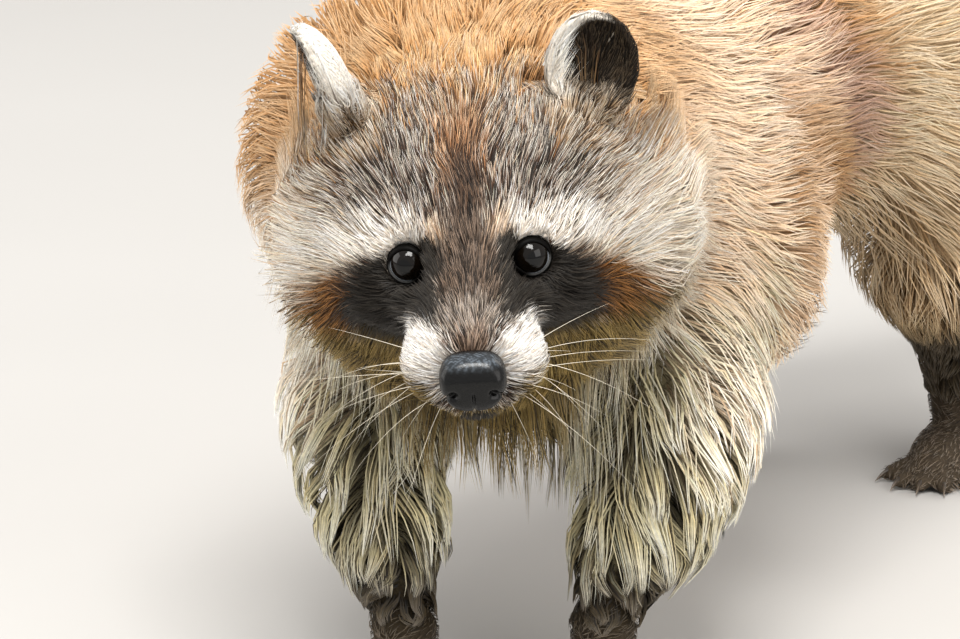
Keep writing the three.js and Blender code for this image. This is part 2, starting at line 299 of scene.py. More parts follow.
@dataclass
class HeadFrame:
    """Axes of the turned head: X to its left, Y back from the nose, Z up, from between the eyes.

    Attributes:
        origin: Midway between the eyes, in millimetres.
        axes: The three axes as rows.
    """

    origin: Array
    axes: Array

    @staticmethod
    def found() -> HeadFrame:
        """Return the frame worked out from where the eyes and the nose are."""
        left, right, nose = (centre_of(name) for name in ("eye_left", "eye_right", "nose"))
        middle = (left + right) / 2.0
        across = unit(left - right)
        ahead = nose - middle
        ahead = unit(ahead - across * (ahead @ across))
        lift = np.cross(across, ahead)
        forward, down = -np.array(NOSE_OFF) / math.hypot(*NOSE_OFF)
        back = forward * ahead - down * lift
        up = down * ahead + forward * lift
        return HeadFrame(middle - EYE_BACK * back, np.stack([across, back, up]))

    def local(self, points: Array) -> Array:
        """Return body places as head places."""
        return (points - self.origin) @ self.axes.T

    def world(self, points: Array) -> Array:
        """Return head places as body places."""
        return points @ self.axes + self.origin

    def turned(self, directions: Array) -> Array:
        """Return head directions as body directions."""
        return directions @ self.axes


def centre_of(node: str) -> Array:
    """Return the middle of a node's box in millimetres."""
    low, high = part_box(node)
    return np.array((low + high) / 2.0) / MM


# ---- flesh
class Flesh(Enum):
    """The nodes of flesh that the coat tells apart."""

    HEAD = "head"
    NECK = "neck"
    TRUNK = "trunk"
    TAIL = "tail"
    FORELEG_LEFT = "foreleg_left"
    FORELEG_RIGHT = "foreleg_right"
    HINDLEG_LEFT = "hindleg_left"
    HINDLEG_RIGHT = "hindleg_right"


PAWS = ("forepaw_left", "forepaw_right", "hindpaw_left", "hindpaw_right")
EYES = ("eye_left", "eye_right")
EARS = ("ear_left", "ear_right")
SIDES = ("left", "right")
GAZE = (0.24, -0.93, 0.27)
ORDER = list(Flesh)


@dataclass
class Animal:
    """The solid outline of the coat, and which named part each place belongs to.

    Attributes:
        nodes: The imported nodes.
        step: The step of the outline's block in millimetres.
        reach: How far inside the outline distances are known.
        coarse: The step of the block of shares.
        blend: The width over which one part's coat turns into the next.
        seam: The gap between two nodes that is closed.
    """

    nodes: dict[str, Piece]
    step: float = 2.4
    reach: float = 46.0
    coarse: float = 6.0
    blend: float = 9.0
    seam: float = 1.2
    head: HeadFrame = field(init=False)
    outline: Block = field(init=False)
    shares: Block = field(init=False)
    spine: Array = field(init=False)
    girth: Array = field(init=False)

    def __post_init__(self) -> None:
        """Measure everything once."""
        self.head = HeadFrame.found()
        names = [part.value for part in ORDER] + list(PAWS)
        self.soups = {name: Soup.of(self.nodes[name]) for name in names + list(EARS)}
        balls = [Soup.of(self.nodes[name]) for name in EYES]
        whole = Soup.joined([self.soups[name] for name in names] + balls)
        low, high = whole.points.min(axis=0) - 14.0, whole.points.max(axis=0) + 14.0
        swollen = surface(whole.field(self.step, 3), self.seam)
        self.outline = filled(swollen.field(self.step, self.reach / self.step), low, high, self.step)
        self.outline.values += self.seam
        self.shares = self._measure_shares(low, high)
        self._measure_tail()

    def _measure_shares(self, low: Array, high: Array) -> Block:
        """Return how much each place belongs to each part."""
        nearness = []
        for part in ORDER:
            near = filled(self.soups[part.value].field(self.coarse, 9), low, high, self.coarse)
            nearness.append(np.exp(-near.values / self.blend))
        stacked = np.stack(nearness, axis=-1)
        return Block(near.low, self.coarse, stacked / stacked.sum(axis=-1, keepdims=True))

    def _measure_tail(self) -> None:
        """Find the tail's middle line and its radius along the body."""
        points = self.soups[Flesh.TAIL.value].points
        cuts = np.linspace(points[:, 1].min(), points[:, 1].max(), 9)
        middles, radii = [], []
        for start, end in zip(cuts[:-1], cuts[1:]):
            slab = points[(points[:, 1] >= start) & (points[:, 1] <= end)]
            middles.append(slab.mean(axis=0))
            radii.append(span(slab - slab.mean(axis=0)).mean())
        self.spine, self.girth = np.array(middles), np.array(radii)

    def tail_way(self, points: Array) -> tuple[Array, Array, Array]:
        """Return the tail's direction, radius and share of its length at each place.

        Args:
            points: Places in millimetres, one in each row.

        Returns:
            The directions, the radii in millimetres and the shares.
        """
        along = self.spine[:, 1]
        ways = unit(np.gradient(self.spine, axis=0))
        way = np.stack([np.interp(points[:, 1], along, ways[:, i]) for i in range(3)], axis=1)
        radius = np.interp(points[:, 1], along, self.girth)
        share = (points[:, 1] - along[0]) / (along[-1] - along[0])
        return unit(way), radius, share

    def part_shares(self, points: Array) -> dict[Flesh, Array]:
        """Return each part's share at each point."""
        found = self.shares.at(points)
        return {part: found[:, i] for i, part in enumerate(ORDER)}

    def coat_depth(self, points: Array) -> Array:
        """Return how deep the skin lies under the tips of the coat, in millimetres.

        Args:
            points: Places in millimetres, one in each row.

        Returns:
            One depth for each place.
        """
        share = self.part_shares(points)
        across, back, up = self.head.local(points).T
        side = np.abs(across)
        face = 7.0 + 10.0 * ramp(back, 45.0, 95.0)
        face = mix(face, 25.0, ramp(side, 40.0, 62.0) * ramp(up, 24.0, 0.0) * ramp(back, -8.0, 14.0))
        face = mix(face, 20.0, ramp(up, -36.0, -62.0) * ramp(back, -12.0, 22.0))
        face = mix(face, 2.4, ramp(back, 10.0, -22.0))
        eye = np.sqrt((side - EYE_ASIDE) ** 2 + back**2 + up**2)
        face = mix(face, 2.2, np.exp(-((eye / 15.0) ** 2)))
        face = mix(face, 2.6 + 2.4 * ramp(up, 5.0, -3.0), ramp(eye, 16.0, 10.0))
        face = mix(face, 3.0, ramp(ear_distance(self.head, points), 2.1, 1.15))
        height = points[:, 2]
        _, radius, _ = self.tail_way(points)
        trunk = 25.0 - 8.0 * ramp(height, 150.0, 110.0)
        fore = 4.0 + 17.0 * ramp(height, 44.0, 92.0)
        hind = 4.5 + 15.0 * ramp(height, 58.0, 125.0)
        neck = mix(23.0, 6.0, ramp(ear_distance(self.head, points), 1.8, 1.1))
        depth = share[Flesh.HEAD] * face + share[Flesh.NECK] * neck + share[Flesh.TRUNK] * trunk
        depth += share[Flesh.TAIL] * 0.62 * radius
        depth += (share[Flesh.FORELEG_LEFT] + share[Flesh.FORELEG_RIGHT]) * fore
        depth += (share[Flesh.HINDLEG_LEFT] + share[Flesh.HINDLEG_RIGHT]) * hind
        return mix(0.7, depth, ramp(height, 33.0, 42.0))

    def lie(self, points: Array) -> Array:
        """Return the way the coat lies at each place, before it is laid on the surface.

        Args:
            points: Places in millimetres, one in each row.

        Returns:
            One direction for each place.
        """
        share = self.part_shares(points)
        place = self.head.local(points)
        flow = place - np.array([0.0, -66.0, -20.0])
        outer = ramp(np.abs(place[:, 0]), 30.0, 70.0) * ramp(place[:, 1], -10.0, 20.0)
        flow[:, 0] *= 1.15 + 0.9 * outer
        flow[:, 2] *= 1.0 - 0.45 * outer
        flow = unit(flow)
        for sign in (1.0, -1.0):
            off = place - np.array([EYE_ASIDE * sign, EYE_BACK, 0.0])
            far = span(off)[:, None]
            pull = np.exp(-((np.maximum(far - 9.0, 0.0) / 4.5) ** 2))
            flow = flow + 2.0 * off / np.maximum(far, 1.0) * pull
        flow = unit(flow)
        droop = ramp(place[:, 2], 0.0, -45.0) * ramp(place[:, 1], -30.0, 15.0)
        flow[:, 2] -= 1.1 * droop
        head = self.head.turned(unit(flow))
        height = points[:, 2]
        low_side = ramp(height, 215.0, 120.0)
        level = np.zeros_like(height)
        trunk = np.stack([level, 1.0 - 0.25 * low_side, -0.12 - 0.75 * low_side], axis=1)
        chest = np.stack([level, 0.75 - 0.6 * low_side, -0.35 - 0.65 * low_side], axis=1)
        tail, _, _ = self.tail_way(points)
        ways = {
            Flesh.HEAD: head,
            Flesh.NECK: unit(chest),
            Flesh.TRUNK: unit(trunk),
            Flesh.TAIL: tail,
            Flesh.FORELEG_LEFT: unit(np.array([[0.34, 0.14, -1.0]])),
            Flesh.FORELEG_RIGHT: unit(np.array([[-0.30, 0.14, -1.0]])),
            Flesh.HINDLEG_LEFT: unit(np.array([[0.05, 0.45, -1.0]])),
            Flesh.HINDLEG_RIGHT: unit(np.array([[-0.05, 0.45, -1.0]])),
        }
        return unit(sum(share[part][:, None] * way for part, way in ways.items()))


def gaze_of(head: HeadFrame, side: str) -> Array:
    """Return the way an eye looks."""
    sign = 1.0 if side == "left" else -1.0
    return unit(head.turned(np.array(GAZE) * [sign, 1.0, 1.0]))


# ---- ears
@dataclass(frozen=True)
class EarSet:
    """How an ear is set on the head, in the head's frame, in millimetres and radians.

    Attributes:
        at: Its middle.
        lean: How far it leans to the side.
        turn: How far its opening turns.
        back: How far it leans back.
        shift: How far its dark hollow, the inner skin darkened further by painted shade, lies outwards from
            its middle.
        hollow: Where the hollow's edge ends and begins, as shares of the ear's size.
    """

    at: tuple[float, float, float]
    lean: float
    turn: float
    back: float
    shift: float
    hollow: tuple[float, float]

    def axes(self) -> Array:
        """Return the ear's axes as rows: across, back from its opening, up to its tip."""
        cos_x, sin_x = math.cos(self.back), math.sin(self.back)
        cos_y, sin_y = math.cos(self.lean), math.sin(self.lean)
        cos_z, sin_z = math.cos(self.turn), math.sin(self.turn)
        about_x = np.array([[1, 0, 0], [0, cos_x, -sin_x], [0, sin_x, cos_x]])
        about_y = np.array([[cos_y, 0, sin_y], [0, 1, 0], [-sin_y, 0, cos_y]])
        about_z = np.array([[cos_z, -sin_z, 0], [sin_z, cos_z, 0], [0, 0, 1]])
        return (about_y @ about_x @ about_z).T


EAR_HALF = np.array([18.5, 9.5, 22.5])
EAR_SETS = {
    "ear_left": EarSet((51.0, 47.0, 55.5), 0.2, -0.12, -0.2, 4.2, (0.93, 0.82)),
    "ear_right": EarSet((-53.0, 47.0, 59.0), -0.42, -1.25, -0.26, -1.5, (0.84, 0.7)),
}
EAR_REACH = 34.0


def ear_places(head: HeadFrame, points: Array) -> list[tuple[EarSet, Array]]:
    """Return each ear with body places in its own frame."""
    local = head.local(points)
    return [(ear, (local - np.array(ear.at)) @ ear.axes().T) for ear in EAR_SETS.values()]


def ear_distance(head: HeadFrame, points: Array, wide: float = 0.0) -> Array:
    """Return how far each place is from an ear's middle, as a share of its size with wide added.

    Args:
        head: The head's frame.
        points: Places in millimetres, one in each row.
        wide: What is added to the ear's size, in millimetres.

    Returns:
        One share for each place, from the nearer ear.
    """
    nearest = np.full(len(points), 9.0)
    for _, place in ear_places(head, points):
        place = place / (EAR_HALF + 1.5 + wide)
        place[:, 2] = np.where(place[:, 2] < 0.0, place[:, 2] * 1.25, place[:, 2])
        nearest = np.minimum(nearest, span(place))
    return nearest


def ear_share(head: HeadFrame, points: Array, wide: float = 0.0) -> Array:
    """Return 1 on either ear and 0 away from them, or further than wide millimetres more."""
    return ramp(ear_distance(head, points, wide), 1.12, 1.02)


# ---- markings
@dataclass(frozen=True)
class Fur:
    """The colours of one kind of hair from its root to its tip."""

    root: str
    middle: str
    tip: str
    ticks: float = 0.08

    def bands(self) -> Array:
        """Return the three colours and, as a fourth row, the share of dark hairs, for one place."""
        rows = [shade(self.root), shade(self.middle), shade(self.tip), np.full(3, self.ticks)]
        return np.stack(rows)[None]


@dataclass(frozen=True)
class Patch:
    """A soft oval of one fur on the face, the same on both sides, in the plane of the face.

    Attributes:
        fur: Its colours.
        across: How far its middle lies from the middle of the face, in millimetres.
        up: How far its middle lies above the eyes.
        wide: Half its width.
        high: Half its height.
        turn: The slope of its long axis in radians.
        soft: The width of its edge as a share of its size.
        reach: How far back on the head it goes.
    """

    fur: Fur
    across: float
    up: float
    wide: float
    high: float
    turn: float = 0.0
    soft: float = 0.28
    reach: float = 62.0

    def cover(self, side: Array, rise: Array, stray: Array) -> Array:
        """Return how fully it covers each place.

        Args:
            side: How far each place lies from the face's middle, in millimetres.
            rise: How far up the face it lies, in millimetres.
            stray: A number about -1 to 1 for each place, which frays the edges.

        Returns:
            One number from 0 to 1 for each place.
        """
        dx, dy = side - self.across, rise - self.up
        cos, sin = math.cos(self.turn), math.sin(self.turn)
        far = np.hypot((dx * cos + dy * sin) / self.wide, (dy * cos - dx * sin) / self.high)
        return ramp(far + 0.6 * stray * self.soft, 1.0 + 0.5 * self.soft, 1.0 - 0.5 * self.soft)


CROWN = Fur("7c5028", "b98650", "e2be8e", 0.06)
GRIZZLE = Fur("0e0805", "63493a", "f6e9d8", 0.5)
ORANGE = Fur("38210f", "a06e46", "deb38a", 0.25)
STRIPE = Fur("0e0805", "3c271a", "7d6049", 0.4)
RUFF = Fur("cfb190", "f8ead6", "fffaf0", 0.05)
CHEEK = Fur("2a2010", "6b5532", "bda273", 0.3)
WHITE = Fur("b5a797", "efe7dc", "fdf8f1", 0.1)
MUZZLE = Fur("c2b3a4", "f0e9e0", "fdfaf5", 0.06)
MASK = Fur("060505", "161412", "35322f", 0.12)
RUST = Fur("2a1504", "7a4c1e", "bd8444", 0.3)
BRIDGE = Fur("18110b", "4e3e32", "8f7968", 0.35)
SNOUT = Fur("3a2d24", "947b6a", "c8b09c", 0.2)
GREY = Fur("3a322b", "857a70", "b9aca0", 0.3)
CREAM_SPOT = Fur("86694f", "d3b79c", "ead6c0", 0.3)
THROAT_AND_UNDER_SHADE = Fur("221904", "5c4816", "b4995c", 0.25)
NECK = Fur("926840", "be8f5e", "e2be94", 0.05)
SHOULDER = Fur("d4ae88", "eccaa8", "fbe6ce", 0.03)
MAUVE = Fur("a07d6c", "b99684", "d2b2a2", 0.04)
FLANK = Fur("946a42", "ac7e50", "cfa778", 0.04)
RUMP = Fur("caa478", "ecd0a8", "fbe8cc", 0.03)
BELLY = Fur("4d381f", "9a7a54", "ccb288")
LEG = Fur("3a301e", "d2c69c", "f8f3e0", 0.15)
SHANK = Fur("19130b", "3b3120", "6f665a")
FOOT = Fur("241d16", "5d5142", "97897a")
TAIL_PALE = Fur("4c3820", "a68a62", "d6bf98")
TAIL_DARK = Fur("140f0a", "33261a", "5b4632")
EAR_BACK = Fur("d6cab9", "f5efe5", "fffdf8", 0.0)
EAR_FOOT = Fur("3f2c1a", "a88862", "f6ead8", 0.2)
EAR_INSIDE_AND_SHADE = Fur("0a0704", "2b2117", "6b5c48", 0.3)
TAIL_RINGS = 5.5

FACE = (
    Patch(GRIZZLE, 0.0, -8.0, 92.0, 80.0, soft=0.3),
    Patch(ORANGE, 0.0, 44.0, 10.0, 17.0, soft=0.9),
    Patch(STRIPE, 0.0, 20.0, 6.5, 28.0, soft=0.6),
    Patch(RUFF, 86.0, 3.0, 36.0, 41.0, soft=0.5, reach=80.0),
    Patch(RUFF, 72.0, -46.0, 22.0, 30.0, soft=0.5, reach=80.0),
    Patch(CHEEK, 43.0, -40.0, 25.0, 17.0, soft=0.6),
    Patch(RUST, 56.0, -15.0, 17.0, 16.0, soft=0.6),
    Patch(RUFF, 60.0, 10.0, 24.0, 9.0, -0.2, soft=0.7),
    Patch(BRIDGE, 0.0, -4.0, 15.0, 26.0),
    Patch(GREY, 0.0, -20.0, 14.0, 7.0, soft=0.7),
    Patch(SNOUT, 0.0, -36.0, 8.0, 12.0, soft=0.6),
    Patch(MASK, 31.5, -13.0, 21.0, 21.0, 0.25, soft=0.24),
    Patch(MASK, 24.0, -2.2, 16.0, 6.6, soft=0.3),
    Patch(WHITE, 33.5, 13.6, 20.0, 9.2, -0.06, soft=0.45),
    Patch(WHITE, 26.0, 10.2, 11.0, 3.6, -0.05, soft=0.25),
    Patch(CREAM_SPOT, 13.0, 13.0, 3.4, 7.5, soft=0.9),
    Patch(MASK, 14.5, 5.0, 4.6, 5.6, soft=0.4),
    Patch(THROAT_AND_UNDER_SHADE, 0.0, -74.0, 40.0, 18.0, soft=0.2, reach=-14.0),
    # Painted shade: the dark olive throat fur is laid on the jowls too, darkening the lower side of the
    # muzzle.
    Patch(THROAT_AND_UNDER_SHADE, 29.0, -51.5, 13.0, 14.0, soft=0.3, reach=-24.0),
    Patch(MUZZLE, 18.5, -35.5, 9.5, 14.5, -0.64, soft=0.4, reach=-24.0),
    Patch(MUZZLE, 0.0, -45.5, 16.5, 9.0, reach=-24.0),
    Patch(MASK, 0.0, -60.5, 16.0, 2.4, soft=0.5, reach=-24.0),
)


def laid(colours: Array, *layers: tuple[Fur, Array]) -> Array:
    """Lay furs over colours in turn.

    Args:
        colours: The bands of colour under them.
        layers: Each fur with how fully it covers each place.

    Returns:
        The bands of colour at each place.
    """
    for fur, cover in layers:
        colours = mix(colours, fur.bands(), cover[:, None, None])
    return colours


@dataclass
class Markings:
    """The colours of the whole coat, which the skin wears too."""

    animal: Animal

    def bands(self, points: Array, stray: Array) -> Array:
        """Return root, middle and tip colours at each place.

        Args:
            points: Places in millimetres.
            stray: A number about -1 to 1 for each, which frays the edges of the marks.

        Returns:
            An array of shape (points, 4, 3), whose last row is the share of dark hairs.
        """
        share = self.animal.part_shares(points)
        place = self.animal.head.local(points)
        aside, far, height = points.T
        cloud = ripple(points, 60.0, 3)
        side = np.abs(place[:, 0]) + 6.0 * stray
        collar = ramp(side, 40.0, 56.0) * ramp(side, 92.0, 76.0)
        neck = laid(
            NECK.bands(),
            (SHOULDER, ramp(place[:, 0], 34.0, 75.0) * ramp(height, 262.0, 225.0)),
            (RUFF, ramp(height + 12.0 * stray, 218.0, 186.0) * collar),
            (LEG, ramp(height + 10.0 * stray, 168.0, 130.0)),
            (THROAT_AND_UNDER_SHADE, ramp(side, 44.0, 26.0) * ramp(height, 205.0, 185.0)),
        )
        trunk = laid(
            FLANK.bands(),
            (MAUVE, 0.8 * ramp(ripple(points, 110.0, 8) + 0.3 * stray, 0.1, 0.9)),
            (RUMP, ramp(far + 20.0 * stray, -26.0, 10.0)),
            (SHOULDER, ramp(far + 22.0 * cloud + 10.0 * stray, -74.0, -122.0)),
            (BELLY, 0.85 * ramp(height + 8.0 * cloud, 175.0, 120.0) * ramp(far, -110.0, -60.0)),
            (LEG, ramp(far, -120.0, -165.0) * ramp(height + 12.0 * stray, 190.0, 150.0)),
        )
        _, _, along = self.animal.tail_way(points)
        ring = ramp(np.sin((along + 0.012 * stray) * 2.0 * math.pi * TAIL_RINGS - 0.6), -0.25, 0.25)
        dark = np.maximum(ring * ramp(along, 0.1, 0.2), ramp(along, 0.88, 0.93))
        low = height + 6.0 * stray
        leg = laid(
            SHANK.bands(),
            (LEG, ramp(low, 48.0, 72.0)),
            (RUFF, ramp(np.abs(aside) + 6.0 * stray, 62.0, 86.0) * ramp(height, 75.0, 120.0)),
            (SHOULDER, ramp(aside + 8.0 * stray, 78.0, 96.0) * ramp(height, 130.0, 165.0)),
        )
        thigh = laid(SHANK.bands(), (BELLY, ramp(low, 66.0, 92.0)), (RUMP, ramp(low, 84.0, 120.0)))
        ways = {
            Flesh.HEAD: self._head(place, stray),
            Flesh.NECK: neck,
            Flesh.TRUNK: trunk,
            Flesh.TAIL: laid(TAIL_PALE.bands(), (TAIL_DARK, dark)),
            Flesh.FORELEG_LEFT: leg,
            Flesh.FORELEG_RIGHT: leg,
            Flesh.HINDLEG_LEFT: thigh,
            Flesh.HINDLEG_RIGHT: thigh,
        }
        total = sum(share[part][:, None, None] * colours for part, colours in ways.items())
        return self._ears(laid(total, (FOOT, ramp(height, 36.0, 26.0))), points, stray)

    def _head(self, place: Array, stray: Array) -> Array:
        """Return the colours of the head, by place in its own frame.

        Args:
            place: Places in the head's own frame, in millimetres.
            stray: A number about -1 to 1 for each place, which frays the edges.

        Returns:
            Three colours and a share of dark hairs for each place.
        """
        side, back, up = np.abs(place[:, 0]), place[:, 1], place[:, 2]
        rise = FACE_UP * up + FACE_BACK * back
        colours = CROWN.bands()
        frayed = stray + 0.45 * ripple(place, 12.0, 17)
        for patch in FACE:
            cover = patch.cover(side, rise, frayed) * ramp(back, patch.reach + 22.0, patch.reach)
            colours = laid(colours, (patch.fur, cover))
        # Partly the olive throat fur, partly painted shade: the underside of the muzzle and chin take the
        # dark throat colour.
        under = ramp(up, -34.0, -44.0) * ramp(back, -26.0, -6.0)
        dots = np.zeros(len(place))
        for row in WHISKER_ROWS:
            for root in row.roots():
                off = np.stack([side, back, up], axis=1) - root
                dots = np.maximum(dots, np.exp(-((off**2).sum(axis=1)) / 1.3))
        return laid(colours, (THROAT_AND_UNDER_SHADE, under), (MASK, 0.8 * dots))

    def _ears(self, colours: Array, points: Array, stray: Array) -> Array:
        """Return the colours with those of the ears laid over them.

        Args:
            colours: The colours so far.
            points: Places in millimetres, one in each row.
            stray: A number about -1 to 1 for each place, which frays the edges.

        Returns:
            The colours in the same form.
        """
        on_ear = ear_share(self.animal.head, points)
        for ear, place in ear_places(self.animal.head, points):
            # The ear's hollow is coloured near black: partly its dark inner skin, partly painted shade in
            # the recess.
            hollow = ramp(span((place - [ear.shift, 0.0, 0.8]) / EAR_HALF), *ear.hollow)
            foot = ramp(place[:, 2] + 2.0 * stray, -9.0, -16.0)
            hollow = hollow * ramp(place[:, 1], 7.6, 6.8)
            shell = laid(EAR_BACK.bands(), (EAR_INSIDE_AND_SHADE, hollow), (EAR_FOOT, foot))
            by_foot = ramp(span(place + [0.0, 0.0, 20.0]), 19.0, 13.0)
            near = (span(place) < EAR_REACH) * on_ear
            colours = mix(laid(colours, (EAR_FOOT, 0.7 * by_foot)), shell, near[:, None, None])
        return colours


# ---- making meshes
def mesh_object(
    name: str,
    points: Array,
    faces: Array,
    colours: Array | None = None,
    normals: Array | None = None,
    places: Array | None = None,
) -> Piece:
    """Make an object from arrays.

    Args:
        name: The piece's name.
        points: Its points in millimetres.
        faces: Its faces, all with three or all with four sides.
        colours: A colour for each point.
        normals: A shading direction for each point.
        places: A place on the bake map for each point.

    Returns:
        The object, linked to the scene.
    """
    mesh = bpy.data.meshes.new(name)
    count, sides = faces.shape
    mesh.vertices.add(len(points))
    mesh.vertices.foreach_set("co", (points * MM).astype(np.float32).ravel())
    mesh.loops.add(count * sides)
    mesh.loops.foreach_set("vertex_index", faces.astype(np.int32).ravel())
    mesh.polygons.add(count)
    mesh.polygons.foreach_set("loop_start", np.arange(0, count * sides, sides, dtype=np.int32))
    mesh.polygons.foreach_set("use_smooth", np.ones(count, bool))
    mesh.update(calc_edges=True)
    if colours is not None:
        paint(mesh, colours)
    if places is not None:
        layer = mesh.uv_layers.new(name=BAKE_MAP)
        layer.data.foreach_set("uv", places[faces.ravel()].astype(np.float32).ravel())
    if normals is not None:
        mesh.normals_split_custom_set_from_vertices(normals.astype(np.float32))
    return placed(name, mesh)


def placed(name: str, data: bpy.types.ID) -> Piece:
    """Return a new object of the scene, made of a mesh, a light or a camera."""
    made = bpy.data.objects.new(name, data)
    bpy.context.scene.collection.objects.link(made)
    return made


def paint(mesh: bpy.types.Mesh, colours: Array) -> None:
    """Put colours on a mesh's colour map, one for each point or one for all."""
    store = mesh.color_attributes.new(name=COLOUR_MAP, type="FLOAT_COLOR", domain="POINT")
    rgba = np.ones((len(mesh.vertices), 4), np.float32)
    rgba[:, :3] = np.clip(colours, 0.0, 1.0)
    store.data.foreach_set("color", rgba.ravel())


def evaluated(piece: Piece) -> bpy.types.Mesh:
    """Return the mesh that a piece's modifiers give."""
    return bpy.data.meshes.new_from_object(piece.evaluated_get(bpy.context.evaluated_depsgraph_get()))


def dressed(piece: Piece, finish: bpy.types.Material) -> Piece:
    """Give a piece its material, slot and body, and report it.

    Args:
        piece: The piece.
        finish: Its material.

    Returns:
        The same piece.
    """
    piece.data.materials.clear()
    piece.data.materials.append(finish)
    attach(piece, BODY)
    LOG.info("%s: %d faces", piece.name, len(piece.data.polygons))
    return piece


# ---- skin
@dataclass
class Skin:
    """One skin under the whole coat, with ears, paws, eye sockets and the line of the mouth.

    Attributes:
        animal: The measured animal.
        markings: The coat's colours.
        step: The step of the grid that the skin is drawn from, in millimetres.
        smoothing: How many times the skin is smoothed.
        stub: The radius of the root under each ear, in millimetres.
        socket: The radius of the hollow round each eye.
    """

    animal: Animal
    markings: Markings
    step: float = 1.35
    smoothing: int = 4
    stub: float = 8.0
    socket: float = 8.8
    soup: Soup = field(init=False)
    normals: Array = field(init=False)
    ground: Block = field(init=False)

    def build(self) -> Piece:
        """Draw the skin and return it."""
        whole = Soup.joined([self._under_coat(), *self._thin_parts()])
        fine = whole.field(self.step, 3)
        for name in EYES:
            self._carve(fine, centre_of(name))
        drawn = self._whole(surface(fine))
        drawn = Soup(self._smoothed(drawn), drawn.faces)
        plain = mesh_object("skin_draft", drawn.points, drawn.faces)
        thinned = self._thinned(plain, 2 * len(drawn.faces))
        self.soup, self.normals = read_mesh(thinned)
        bpy.data.objects.remove(plain)
        low, high = self.soup.points.min(axis=0) - 9.0, self.soup.points.max(axis=0) + 9.0
        self.ground = filled(self.soup.field(self.step, 6), low, high, self.step)
        bands = self.markings.bands(self.soup.points, 0.7 * ripple(self.soup.points, 7.0, 11))
        colours = mix(bands[:, 0], bands[:, 1], 0.45)
        return mesh_object("skin", self.soup.points, self.soup.faces, colours)

    def _under_coat(self) -> Soup:
        """Return the surface that lies inside the outline by the coat's depth."""
        outline = self.animal.outline
        low = np.floor(outline.low * outline.step / 6.0).astype(int)
        size = np.ceil(np.array(outline.values.shape) * outline.step / 6.0).astype(int) + 2
        coarse = Block(low, 6.0, np.zeros(tuple(size), np.float32))
        coarse.values = self.animal.coat_depth(coarse.places()).reshape(tuple(size))
        inner = outline.values + stretched(coarse, outline)
        inner = Block(outline.low, outline.step, inner)
        for ear in EAR_SETS.values():
            top = self.animal.head.world(np.array([ear.at]) + ear.axes()[2] * -17.0 + [[0.0, 2.0, 0.0]])
            foot = self.animal.head.world(np.array([ear.at]) * [0.72, 1.0, 0.35])
            self._add_stub(inner, top[0], foot[0])
        return surface(grid_of(inner, 5.0))

    def _add_stub(self, inner: Block, top: Array, foot: Array) -> None:
        """Add a round root under an ear to the skin's grid.

        Args:
            inner: The grid, which is changed.
            top: Where the root starts, in millimetres.
            foot: Where it ends, inside the head.
        """
        room = self.stub + 6.0
        low = np.floor((np.minimum(top, foot) - room) / inner.step).astype(int) - inner.low
        high = np.ceil((np.maximum(top, foot) + room) / inner.step).astype(int) - inner.low
        low, high = np.maximum(low, 0), np.minimum(high, inner.values.shape)
        window = tuple(slice(a, b) for a, b in zip(low, high))
        held = inner.values[window]
        places = Block(inner.low + low, inner.step, held).places()
        line = foot - top
        share = np.clip((places - top) @ line / (line @ line), 0.0, 1.0)
        far = span(places - top - share[:, None] * line) - self.stub
        inner.values[window] = np.minimum(held, far.reshape(held.shape))

    def _thin_parts(self) -> list[Soup]:
        """Return the ears and the paws, drawn more finely."""
        soups = self.animal.soups
        ears = [surface(soups[name].field(0.7, 4), -0.6) for name in EARS]
        return ears + [surface(soups[name].field(1.0, 4), -0.3) for name in PAWS]

    def _carve(self, fine: openvdb.FloatGrid, centre: Array) -> None:
        """Hollow an eye's socket out of the grid."""
        room = self.socket + 4.0
        block = filled(fine, centre - room, centre + room, self.step)
        far = span(block.places() - centre).reshape(block.values.shape)
        limit = 3.0 * self.step
        hollow = np.clip(self.socket - far, -limit, limit)
        block.values = np.maximum(block.values, hollow).astype(np.float32)
        fine.copyFromArray(block.values, ijk=whole_steps(block.low))

    def _whole(self, drawn: Soup) -> Soup:
        """Return the largest connected piece of a soup."""
        label = np.arange(len(drawn.points))
        while True:
            least = label[drawn.faces].min(axis=1)
            found = label.copy()
            for corner in range(drawn.faces.shape[1]):
                np.minimum.at(found, drawn.faces[:, corner], least)
            found = found[found]
            if np.array_equal(found, label):
                break
            label = found
        names, counts = np.unique(label, return_counts=True)
        LOG.info("skin: %d loose parts left out", len(names) - 1)
        kept = label == names[np.argmax(counts)]
        number = np.cumsum(kept) - 1
        faces = drawn.faces[kept[drawn.faces].all(axis=1)]
        return Soup(drawn.points[kept], number[faces])

    def _smoothed(self, drawn: Soup) -> Array:
        """Return the points with the grid's steps smoothed out and their size kept."""
        one, two = np.vstack([drawn.faces[:, [i, (i + 1) % 4]] for i in range(4)]).T
        count = len(drawn.points)
        ends = np.bincount(one, minlength=count) + np.bincount(two, minlength=count)
        points = drawn.points.copy()
        for turn in range(2 * self.smoothing):
            sums = [np.bincount(one, p[two], count) + np.bincount(two, p[one], count) for p in points.T]
            points += (np.stack(sums, axis=1) / ends[:, None] - points) * (0.5 if turn % 2 == 0 else -0.52)
        return points

    def _thinned(self, piece: Piece, triangles: int) -> bpy.types.Mesh:
        """Return the piece's mesh with fewer triangles where it is flattest."""
        thin = piece.modifiers.new("thin", "DECIMATE")
        thin.ratio = min(1.0, PIECE_LIMIT / triangles)
        mesh = evaluated(piece)
        piece.modifiers.remove(thin)
        return mesh


